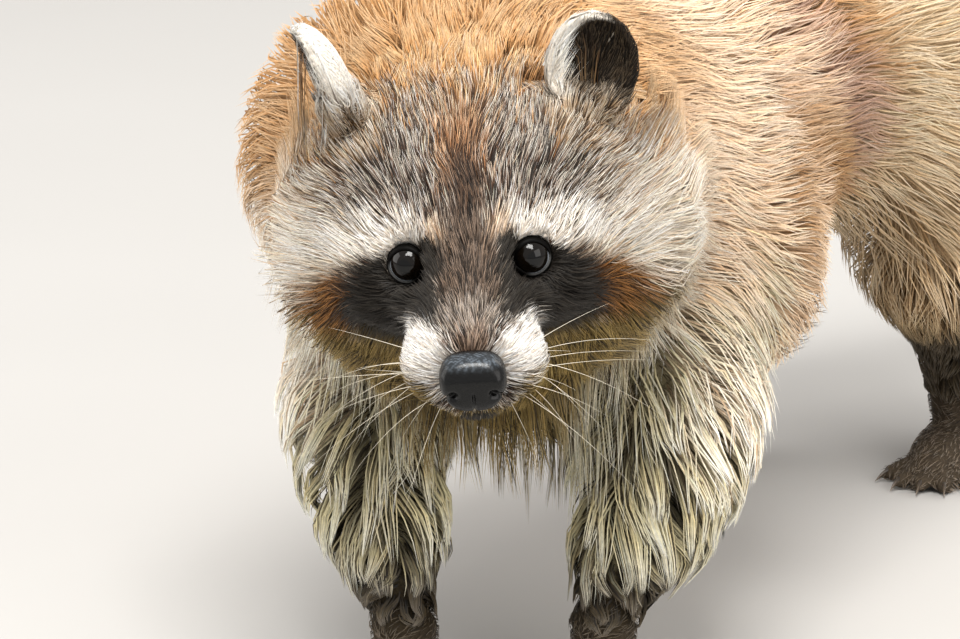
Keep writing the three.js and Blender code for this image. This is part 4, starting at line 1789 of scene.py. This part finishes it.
@dataclass(frozen=True)
class Finish:
    """A finish whose colour is painted on the piece and broken up by fine grain.

    Attributes:
        name: The material's name.
        roughness: How dull it is.
        specular: How strongly it reflects.
        scale: The grain's waves in a metre.
        amount: How far the grain changes the shade.
        bump: The depth of the grain in metres.
        coat: The strength of a wet layer.
        coat_roughness: How dull that layer is.
    """

    name: str
    roughness: float
    specular: float = 0.3
    scale: float = 600.0
    amount: float = 0.25
    bump: float = 0.0
    coat: float = 0.0
    coat_roughness: float = 0.05

    def material(self) -> bpy.types.Material:
        """Return the material, made once."""
        made = bpy.data.materials.get(self.name)
        if made:
            return made
        made = bpy.data.materials.new(self.name)
        made.use_nodes = True
        wire = Wiring(made.node_tree)
        painted = wire.add("ShaderNodeAttribute", attribute_name=COLOUR_MAP)
        grain = wire.add(
            "ShaderNodeGroup",
            {"Colour": (painted, "Color"), "Scale": self.scale, "Amount": self.amount},
            node_tree=hair_grain(),
        )
        look = {
            "Base Color": (grain, "Colour"),
            "Roughness": self.roughness,
            "Specular IOR Level": self.specular,
            "Coat Weight": self.coat,
            "Coat Roughness": self.coat_roughness,
        }
        if self.bump:
            bump = wire.add("ShaderNodeBump", {"Distance": self.bump, "Height": (grain, "Height")})
            look["Normal"] = (bump, "Normal")
        wire.feed(made.node_tree.nodes["Principled BSDF"], look)
        return made


COAT_FINISH = Finish("Fur", 0.62, 0.22, 700.0, 0.3)
WET_FINISH = Finish("Wet fur", 0.5, 0.28, 500.0, 0.3)
SKIN_FINISH = Finish("Skin under the fur", 0.8, 0.15, 900.0, 0.5, bump=0.0006)
NOSE_FINISH = Finish("Nose leather", 0.5, 0.03, 1100.0, 0.4, bump=0.0012, coat=0.5, coat_roughness=0.22)
EYE_FINISH = Finish("Eye", 0.3, 0.0, 900.0, 0.3, coat=0.6, coat_roughness=0.02)
LID_FINISH = Finish("Eyelid", 0.5, 0.06, 1500.0, 0.3, bump=0.0001)
CLAW_FINISH = Finish("Claw", 0.35, 0.5, 1200.0, 0.3, bump=0.00008)
WHISKER_FINISH = Finish("Whisker", 0.35, 0.5, 300.0, 0.2)


# ---- eyes and lids
@dataclass
class Eye:
    """An eyeball and the rim of lid round it.

    Attributes:
        animal: The measured animal.
        side: The word left or right.
        opening: Half the angle that the lids leave open, in degrees.
        around: How many points go round.
    """

    animal: Animal
    side: str
    opening: float = 53.0
    around: int = 64

    def __post_init__(self) -> None:
        """Find the ball and the way it looks."""
        low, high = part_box(f"eye_{self.side}")
        self.centre = centre_of(f"eye_{self.side}")
        self.radius = float(max(high - low)) / 2.0 / MM
        self.gaze = gaze_of(self.animal.head, self.side)
        inward = self.animal.head.axes[0] * (-1.0 if self.side == "left" else 1.0)
        self.across = unit(inward - self.gaze * (inward @ self.gaze))
        self.lift = np.cross(self.gaze, self.across)
        if self.lift @ self.animal.head.axes[2] < 0.0:
            self.lift = -self.lift

    def edge(self, turn: Array) -> Array:
        """Return the angle off the gaze at which the lids end, at each angle round it."""
        inner = np.exp(-((np.cos(turn) - 1.0) ** 2) / 0.02)
        outer = np.exp(-((np.cos(turn) + 1.0) ** 2) / 0.03)
        upper = ramp(np.sin(turn), 0.0, 1.0)
        return np.radians(self.opening + 10.0 * inner + 4.0 * outer - 4.0 * upper)

    def rim(self) -> tuple[list[float], list[float]]:
        """Return the lids' outer shape, as degrees from their edge and millimetres from the ball."""
        return [-2.6, -1.4, 2.0, 8.0, 18.0, 30.0], [0.22, 0.55, 0.85, 0.95, 0.65, -0.4]

    def place(self, polar: Array, turn: Array, radius: Array) -> Array:
        """Return places from angles off the gaze and round it."""
        flat = self.across * np.cos(turn)[..., None] + self.lift * np.sin(turn)[..., None]
        way = self.gaze * np.cos(polar)[..., None] + flat * np.sin(polar)[..., None]
        return self.centre + way * radius[..., None]

    def ball(self) -> Piece:
        """Return the eyeball, with a clear bulge over a dark iris."""
        polar = np.linspace(0.0, math.pi, 33)[1:-1]
        turn = round_turn(self.around)
        grid_polar, grid_turn = np.meshgrid(polar, turn, indexing="ij")
        bulge = 1.0 + 0.05 * np.exp(-((grid_polar / 0.55) ** 2))
        rows = self.place(grid_polar, grid_turn, self.radius * bulge).reshape(-1, 3)
        ahead = self.gaze * self.radius
        ends = np.stack([self.centre + ahead * 1.05, self.centre - ahead])
        points = np.vstack([rows, ends])
        faces = closed_rows(len(polar), self.around)
        angle = np.degrees(np.concatenate([grid_polar.ravel(), [0.0, math.pi]]))
        colours = tint("010101", "0b0704", ramp(angle, 19.0, 23.0))
        colours = tint(colours, "050403", ramp(angle, 44.0, 52.0))
        # The lower rim of the ball is painted pale grey: partly the eye's pale rim, partly a painted
        # reflection of the light it catches.
        below = ramp(-np.sin(grid_turn) - 0.9 * np.cos(grid_turn), 0.5, 1.1)
        rim_and_reflection = np.concatenate([(below * ramp(grid_polar, 0.80, 0.87)).ravel(), [0.0, 0.0]])
        colours = tint(colours, "858a90", rim_and_reflection)
        made = mesh_object(f"eyeball_{self.side}", points, faces, colours)
        face_outwards(made)
        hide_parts(f"eye_{self.side}")
        return dressed(made, EYE_FINISH.material())

    def lids(self) -> Piece:
        """Return the lids as one closed, rolled rim."""
        turn = round_turn(self.around)
        edge = self.edge(turn)
        profile = [(-1.5, 0.02), *zip(*self.rim()), (32.0, -1.2), (18.0, -1.0), (4.0, -0.6)]
        # Painted highlight: the lid's edge is coloured paler along its lower outer side, where light
        # catches it.
        pale = ramp(-np.sin(turn) - 0.75 * np.cos(turn), 0.55, 1.05)
        rows, colours = [], []
        for off, out in profile:
            rows.append(self.place(edge + math.radians(off), turn, np.full(self.around, self.radius + out)))
            share = pale * (0.35 if -4.0 < off < 1.0 else 0.0)
            colours.append(tint("060504", "8d8d8c", 0.8 * share))
        faces = ring_faces(len(profile), self.around, True)
        made = mesh_object(f"eyelids_{self.side}", np.concatenate(rows), faces, np.concatenate(colours))
        face_outwards(made)
        return dressed(made, LID_FINISH.material())


def closed_rows(rows: int, around: int) -> Array:
    """Return triangles over rows of points that close at two last points.

    Args:
        rows: How many rows there are.
        around: How many points each row has.

    Returns:
        Three point numbers for each triangle.
    """
    faces = []
    for quad in ring_faces(rows, around, False):
        faces += [(quad[0], quad[1], quad[2]), (quad[0], quad[2], quad[3])]
    first, last = rows * around, rows * around + 1
    for i in range(around):
        j = (i + 1) % around
        faces += [(first, j, i), (last, (rows - 1) * around + i, (rows - 1) * around + j)]
    return np.array(faces)


def ring_faces(rows: int, around: int, closed: bool) -> Array:
    """Return four-sided faces between rows of points that go round.

    Args:
        rows: How many rows there are.
        around: How many points each row has.
        closed: Whether the last row joins the first.

    Returns:
        Four point numbers for each face.
    """
    faces = []
    for row in range(rows if closed else rows - 1):
        upper = (row + 1) % rows
        for i in range(around):
            j = (i + 1) % around
            faces.append((row * around + i, row * around + j, upper * around + j, upper * around + i))
    return np.array(faces)


def face_outwards(piece: Piece) -> None:
    """Turn a closed piece's faces outwards."""
    work = bmesh.new()
    work.from_mesh(piece.data)
    bmesh.ops.recalc_face_normals(work, faces=work.faces)
    work.to_mesh(piece.data)
    work.free()


# ---- nose
@dataclass
class NosePad:
    """The bare nose, with its nostrils and the groove under them.

    Attributes:
        animal: The measured animal.
        half: Half its width, depth and height in millimetres.
        squareness: How boxy it is, where 2 is an egg.
        rows: Points from front to back.
        around: Points round it.
    """

    animal: Animal
    half: tuple[float, float, float] = (12.6, 7.8, 10.4)
    squareness: float = 3.2
    rows: int = 90
    around: int = 128

    def build(self) -> Piece:
        """Return the nose pad."""
        head = self.animal.head
        centre = head.local(centre_of("nose")[None])[0]
        polar = np.linspace(0.0, math.pi, self.rows)[1:-1]
        turn = round_turn(self.around)
        polar, turn = np.meshgrid(polar, turn, indexing="ij")
        flat, square = np.sin(polar), self.squareness
        way = np.stack([flat * np.cos(turn), -np.cos(polar), flat * np.sin(turn)], axis=-1)
        way = np.vstack([way.reshape(-1, 3), [[0.0, -1.0, 0.0], [0.0, 1.0, 0.0]]])
        shape = way * ((np.abs(way) ** square).sum(axis=1) ** (-1.0 / square))[:, None]
        shape[:, 0] *= 1.0 - 0.2 * ramp(shape[:, 2], 0.1, -1.0) - 0.05 * ramp(shape[:, 2], 0.4, 1.0)
        half = np.array(self.half)
        points = shape * half
        points[:, 1] += 2.2 * ramp(shape[:, 2], 0.2, 1.0)
        out = unit(points / half**2)
        side = np.abs(points[:, 0])
        front = ramp(points[:, 1], 1.5, -3.0)
        bore = np.exp(-(((side - 7.9) / 1.9) ** 2) - ((points[:, 2] + 2.4) / 2.0) ** 2)
        slit_line = points[:, 2] + 3.0 + 0.3 * (side - 8.0)
        slit = np.exp(-((slit_line / 1.1) ** 2)) * ramp(side, 7.0, 9.5) * ramp(points[:, 1], 5.5, 2.0)
        groove = np.exp(-((side / 0.75) ** 2)) * ramp(points[:, 2], 1.0, -3.0) * front
        deep = 2.6 * bore * front + 1.7 * slit + 0.9 * groove
        wing = 0.55 * np.exp(-(((side - 9.6) / 1.8) ** 2) - ((points[:, 2] - 1.0) / 4.0) ** 2) * front
        points = points + out * (wing - deep)[:, None]
        # Painted shade: the nostrils and the slits beside them are coloured darker than the leather round
        # them.
        dark = np.clip(np.maximum(bore * front, 0.8 * slit), 0.0, 1.0)
        pebbles = ramp(ripple(points, 1.5, 61) + 0.7 * ripple(points, 3.4, 62), 0.1, 1.0)
        # Painted highlight: the top of the nose is tinted pale blue-grey, in spots over the pebbles, as a
        # painted reflection of the sky on the wet leather.
        painted_sky_reflection = ramp(shape[:, 2], 0.62, 0.95) * ramp(points[:, 1], 6.0, 2.0) * (0.25 + 0.75 * pebbles)
        colours = tint("060606", "020202", dark)
        colours = tint(colours, "76808a", 0.6 * painted_sky_reflection)
        colours = tint(colours, "1c1815", 0.5 * ramp(points[:, 1], 2.0, 6.0))
        faces = closed_rows(self.rows - 2, self.around)
        made = mesh_object("nose_pad", head.world(points + centre), faces, colours)
        face_outwards(made)
        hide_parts("nose")
        return dressed(made, NOSE_FINISH.material())


# ---- claws
@dataclass(frozen=True)
class PawSet:
    """How a kind of paw carries its toes, in millimetres and radians.

    Attributes:
        palm: Half the palm's width and half its length.
        back: How far the palm's middle lies behind the wrist.
        toe: The middle toe's length.
        turn: How far the paw turns out.
    """

    palm: tuple[float, float]
    back: float
    toe: float
    turn: float


PAW_SETS = {
    "fore": PawSet((17.0, 17.0), 2.0, 25.0, 0.16),
    "hind": PawSet((16.0, 36.0), 14.0, 20.0, 0.1),
}
TOE_SPREAD = np.radians([-34.0, -16.0, 0.0, 16.0, 34.0])
TOE_SHARE = np.array([0.78, 0.96, 1.0, 0.96, 0.78])
TOE_RADIUS = 4.8


@dataclass
class Claws:
    """Twenty curved claws, one on each toe.

    Attributes:
        animal: The measured animal, which is not used.
        length: A claw's length in millimetres.
        thick: Its thickness at the root.
        drop: How far its point hangs.
    """

    animal: Animal
    length: float = 10.5
    thick: float = 3.4
    drop: float = 3.9

    def build(self) -> Piece:
        """Return all claws as one piece."""
        points, faces, colours = [], [], []
        for paw in PAWS:
            kind, side = paw.split("paw_")
            for root, ahead in self._toes(paw, PAW_SETS[kind], 1.0 if side == "left" else -1.0):
                made, painted = self._claw(root, ahead)
                faces.append(closed_rows(8, 12) + sum(len(p) for p in points))
                points.append(made)
                colours.append(painted)
        made = mesh_object("claws", np.vstack(points), np.vstack(faces), np.vstack(colours))
        face_outwards(made)
        return dressed(made, CLAW_FINISH.material())

    def _toes(self, paw: str, kind: PawSet, sign: float) -> list[tuple[Array, Array]]:
        """Return where each claw starts and the way it points.

        Args:
            paw: The paw's node.
            kind: The paw's sizes.
            sign: 1 for a left paw and -1 for a right one.

        Returns:
            A place in millimetres and a direction for each claw.
        """
        low, high = (np.array(corner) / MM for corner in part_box(paw))
        found = []
        for angle, share in zip(TOE_SPREAD, TOE_SHARE):
            ahead = np.array([math.sin(angle), -math.cos(angle), 0.0])
            outer = 5.0 if share == TOE_SHARE[0] else 0.0
            aside = kind.palm[0] * 0.78 * math.sin(angle * 1.6)
            root = np.array([aside, -kind.back - kind.palm[1] * 0.72 + outer, 0.0])
            found.append((root + ahead * kind.toe * share, ahead))
        cos, sin = math.cos(sign * kind.turn), math.sin(sign * kind.turn)
        about = np.array([[cos, -sin, 0.0], [sin, cos, 0.0], [0.0, 0.0, 1.0]])
        tips = np.array([about @ (tip + ahead * 9.0) for tip, ahead in found])
        middle = (low[0] + high[0]) / 2.0 - (tips[:, 0].min() + tips[:, 0].max()) / 2.0
        shift = np.array([middle, low[1] - tips[:, 1].min(), 0.0])
        lift = [0.0, 0.0, TOE_RADIUS + 0.4]
        return [(about @ tip + shift + lift, about @ ahead) for tip, ahead in found]

    def _claw(self, root: Array, ahead: Array) -> tuple[Array, Array]:
        """Return one claw's points and colours.

        Args:
            root: Where the claw starts, in millimetres.
            ahead: The way it points.

        Returns:
            The points in millimetres, and a colour for each.
        """
        share = np.linspace(0.0, 1.0, 8)
        line = root - ahead * 1.5 + ahead * (share * self.length)[:, None]
        line[:, 2] -= self.drop * share**2.2
        forward = unit(np.gradient(line, axis=0))
        side = unit(np.cross(forward, [0.0, 0.0, 1.0]))
        top = np.cross(side, forward)
        thick = 0.5 * self.thick * (1.0 - share**1.6) + 0.12
        turn = round_turn(12)
        flat = side[:, None] * 0.72 * np.cos(turn)[None, :, None]
        flat = flat + top[:, None] * np.sin(turn)[None, :, None]
        rows = line[:, None] + flat * thick[:, None, None]
        points = np.vstack([rows.reshape(-1, 3), line[:1], line[-1:] + forward[-1:] * 0.3])
        points[:, 2] = np.maximum(points[:, 2], 0.05)
        colours = np.repeat(tint("1f1813", "6e5f4e", share**2), 12, axis=0)
        return points, np.vstack([colours, colours[:1], colours[-1:]])


# ---- whiskers
@dataclass(frozen=True)
class WhiskerRow:
    """A set of whiskers fanned out from the face, in the head's frame, in millimetres.

    Attributes:
        first: The root of the first whisker on the left side.
        last: The root of the last.
        towards_first: How far back and up the first points, for each length to the side.
        towards_last: The same for the last.
        count: How many there are on each side.
        length: Their mean length.
        sag: How far their tips hang.
        aside: How far the first points to the side.
    """

    first: tuple[float, float, float]
    last: tuple[float, float, float]
    towards_first: tuple[float, float]
    towards_last: tuple[float, float]
    count: int
    length: float
    sag: float
    aside: float = 1.0

    def roots(self) -> Array:
        """Return where its whiskers grow on the left side."""
        share = np.linspace(0.0, 1.0, self.count)[:, None]
        return mix(np.array([self.first]), np.array([self.last]), share)


WHISKER_ROWS = (
    WhiskerRow((15.0, -47.0, -24.0), (23.0, -32.0, -20.0), (-0.15, 0.2), (0.25, 0.35), 3, 32.0, 3.0),
    WhiskerRow((15.5, -46.0, -28.0), (24.0, -30.0, -26.0), (-0.2, 0.05), (0.2, 0.1), 4, 50.0, 7.0),
    WhiskerRow((14.5, -45.0, -32.0), (23.0, -29.0, -31.0), (-0.2, -0.3), (0.2, -0.25), 4, 48.0, 9.0),
    WhiskerRow((12.0, -43.0, -35.5), (20.0, -28.0, -35.0), (-0.3, -0.7), (0.1, -0.6), 3, 40.0, 6.0, 0.7),
)


@dataclass
class Whiskers:
    """Tapered whiskers, drawn as lines and given their thickness by a node tree.

    Attributes:
        animal: The measured animal.
        root_radius: The radius at the root in metres.
        lengths: How many straight lengths each has.
    """

    animal: Animal
    root_radius: float = 0.00012
    lengths: int = 10

    def build(self) -> Piece:
        """Return all whiskers as one mesh."""
        lines = self._lines()
        mesh = bpy.data.meshes.new("whisker_lines")
        count = self.lengths + 1
        edges = [(n * count + i, n * count + i + 1) for n in range(len(lines)) for i in range(self.lengths)]
        mesh.from_pydata((lines.reshape(-1, 3) * MM).tolist(), edges, [])
        share = mesh.attributes.new("Share", "FLOAT", "POINT")
        along = np.tile(np.linspace(0.0, 1.0, count), len(lines))
        share.data.foreach_set("value", along.astype(np.float32))
        draft = placed("whisker_lines", mesh)
        modifier = draft.modifiers.new("tapered", "NODES")
        tree = self._tree()
        modifier.node_group = tree
        for item in tree.interface.items_tree:
            if item.item_type == "SOCKET" and item.in_out == "INPUT" and item.name == "Root radius":
                modifier[item.identifier] = self.root_radius
        made = placed("whiskers", evaluated(draft))
        bpy.data.objects.remove(draft)
        paint(made.data, shade("efe6d2"))
        return dressed(made, WHISKER_FINISH.material())

    def _lines(self) -> Array:
        """Return the middle lines in millimetres."""
        draw = np.random.default_rng(21)
        share = np.linspace(0.0, 1.0, self.lengths + 1)[:, None]
        lines = []
        for row in WHISKER_ROWS:
            for number in range(row.count):
                part = number / max(1, row.count - 1)
                for sign in (1.0, -1.0):
                    root = mix(np.array(row.first), np.array(row.last), part) + draw.normal(0.0, 0.8, 3)
                    first = np.array([row.aside, *row.towards_first])
                    way = unit(mix(first, np.array([1.0, *row.towards_last]), part))
                    way = unit(way + draw.normal(0.0, 0.1, 3))
                    length = row.length * draw.uniform(0.5, 1.15)
                    bend = np.array([0.0, 0.5 * draw.normal(), -1.0]) * row.sag * draw.uniform(0.8, 2.4)
                    line = root - 2.0 * way + way * share * length + bend * share**2
                    line[:, 0] *= sign
                    lines.append(self.animal.head.world(line))
        return np.array(lines)

    def _tree(self) -> bpy.types.NodeTree:
        """Return the node tree that gives lines their tapered thickness."""
        tree = bpy.data.node_groups.new("Tapered whiskers", "GeometryNodeTree")
        tree.interface.new_socket(name="Geometry", in_out="INPUT", socket_type="NodeSocketGeometry")
        wire = Wiring(tree)
        wire.socket("Root radius", "Float", 0.0003)
        wire.socket("Geometry", "Geometry")
        entry = wire.add("NodeGroupInput")
        curve = wire.add("GeometryNodeMeshToCurve", {"Mesh": (entry, "Geometry")})
        share = wire.add("GeometryNodeInputNamedAttribute", {"Name": "Share"})
        taper = wire.add(
            "ShaderNodeMapRange", {"Value": (share, "Attribute"), "To Min": 1.0, "To Max": 0.12}
        )
        radius = wire.add(
            "ShaderNodeMath", {0: (taper, "Result"), 1: (entry, "Root radius")}, operation="MULTIPLY"
        )
        sized = wire.add(
            "GeometryNodeSetCurveRadius", {"Curve": (curve, "Curve"), "Radius": (radius, "Value")}
        )
        circle = wire.add("GeometryNodeCurvePrimitiveCircle", {"Resolution": 6, "Radius": 1.0})
        tube = wire.add(
            "GeometryNodeCurveToMesh",
            {
                "Curve": (sized, "Curve"),
                "Profile Curve": (circle, "Curve"),
                "Scale": (radius, "Value"),
                "Fill Caps": True,
            },
        )
        real = wire.add("GeometryNodeRealizeInstances", {"Geometry": (tube, "Mesh")})
        clothed = wire.add(
            "GeometryNodeSetMaterial",
            {"Geometry": (real, "Geometry"), "Material": WHISKER_FINISH.material()},
        )
        wire.add("NodeGroupOutput", {"Geometry": (clothed, "Geometry")})
        return tree


# ---- studio
@dataclass(frozen=True)
class SoftLight:
    """A soft square light that looks at the animal, in metres and watts."""

    name: str
    at: tuple[float, float, float]
    size: float
    power: float
    colour: tuple[float, float, float]


SKY = ((0.18, -1.0), (0.68, -0.85), (0.52, -1.38), (0.0, -1.52), (1.04, -1.3))
SKY_COLOUR = (1.0, 0.98, 0.95)
LIGHTS = (
    *(SoftLight(f"sky_{n + 1}", (*at, 2.47), 0.5, 15.5, SKY_COLOUR) for n, at in enumerate(SKY)),
    SoftLight("side_right", (-2.2, -1.0, 1.1), 1.8, 26.0, (1.0, 0.97, 0.93)),
    SoftLight("side_left", (2.4, -0.8, 1.3), 1.8, 26.0, (1.0, 0.97, 0.93)),
    SoftLight("back", (0.4, 2.4, 1.9), 1.6, 32.0, (1.0, 0.96, 0.90)),
)


@dataclass
class Studio:
    """A pale floor, soft lights and the camera.

    Attributes:
        animal: The measured animal, which is not used.
        distance: From between the eyes to the camera in metres.
        lens: The camera's lens in millimetres.
        around: The camera's angle round the animal in degrees.
        above: The camera's angle above the level in degrees.
        aside: How far the camera stands to its own right of the eyes, in metres.
        below: How far it stands below them.
    """

    animal: Animal
    distance: float = 1.690
    lens: float = 165.75
    around: float = 27.0
    above: float = 16.0
    aside: float = 0.0040
    below: float = 0.0233

    def build(self) -> None:
        """Set up everything that isn't part of the animal."""
        self._floor()
        self._world()
        for light in LIGHTS:
            self._light(light)
        self._camera()
        view = bpy.context.scene.view_settings
        view.view_transform = "Standard"
        view.look = "None"
        view.exposure = 0.0

    def _floor(self) -> None:
        """Lay a wide pale floor."""
        corners = np.array([[-14.0, -14.0, 0], [14.0, -14.0, 0], [14.0, 14.0, 0], [-14.0, 14.0, 0]]) / MM
        floor = mesh_object("floor", corners, np.array([[0, 1, 2, 3]]))
        finish = bpy.data.materials.new("Pale floor")
        finish.use_nodes = True
        wire = Wiring(finish.node_tree)
        place = wire.add("ShaderNodeTexCoord")
        noise = wire.add("ShaderNodeTexNoise", {"Scale": 3.0, "Vector": (place, "Object")})
        tone = wire.add("ShaderNodeValToRGB", {"Fac": (noise, "Fac")})
        darker, lighter = tone.color_ramp.elements
        darker.color = (0.48, 0.47, 0.455, 1.0)
        lighter.color = (0.52, 0.51, 0.495, 1.0)
        shader = finish.node_tree.nodes["Principled BSDF"]
        wire.feed(shader, {"Roughness": 0.7, "Base Color": (tone, "Color")})
        floor.data.materials.append(finish)

    def _world(self) -> None:
        """Surround everything with an even pale grey."""
        world = bpy.data.worlds.new("Pale room")
        world.use_nodes = True
        back = world.node_tree.nodes["Background"]
        back.inputs["Color"].default_value = (0.90, 0.89, 0.88, 1.0)
        back.inputs["Strength"].default_value = 0.82
        bpy.context.scene.world = world

    def _light(self, light: SoftLight) -> None:
        """Hang one soft light."""
        data = bpy.data.lights.new(light.name, "AREA")
        data.size, data.energy, data.color = light.size, light.power, light.colour
        lamp = placed(light.name, data)
        lamp.location = light.at
        target = Vector((0.0, -0.2, 0.15))
        lamp.rotation_euler = (target - Vector(light.at)).to_track_quat("-Z", "Y").to_euler()

    def _camera(self) -> None:
        """Stand the camera before the face."""
        around, above = math.radians(self.around), math.radians(self.above)
        level = np.array([math.sin(around), -math.cos(around), 0.0])
        back = level * math.cos(above) + np.array([0.0, 0.0, math.sin(above)])
        right = np.array([math.cos(around), math.sin(around), 0.0])
        up = np.cross(back, right)
        middle = (centre_of("eye_left") + centre_of("eye_right")) / 2.0 * MM
        data = bpy.data.cameras.new("camera")
        data.lens, data.sensor_width = self.lens, 36.0
        camera = placed("camera", data)
        camera.location = Vector(middle + back * self.distance + right * self.aside - up * self.below)
        camera.rotation_euler = Vector(-back).to_track_quat("-Z", "Y").to_euler()
        bpy.context.scene.camera = camera


def main() -> None:
    """Build the animal in order and report each piece."""
    logging.basicConfig(level=logging.INFO, format="%(name)s: %(message)s")
    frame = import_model()
    animal = Animal(frame["nodes"])
    LOG.info("outline measured")
    markings = Markings(animal)
    skin = Skin(animal, markings)
    shell = skin.build()
    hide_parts(*[part.value for part in ORDER], *PAWS, *EARS)
    dressed(shell, SKIN_FINISH.material())
    unwrap = Unwrap(skin.soup)
    coat = Coat(animal, markings, skin, unwrap)
    for cut in CUTS:
        finish = WET_FINISH if cut in LEG_CUTS else COAT_FINISH
        for piece in coat.grow(cut):
            dressed(piece, finish.material())
    for side in SIDES:
        eye = Eye(animal, side)
        eye.ball()
        eye.lids()
    NosePad(animal).build()
    Claws(animal).build()
    Whiskers(animal).build()
    Studio(animal).build()


if __name__ == "__main__":
    main()
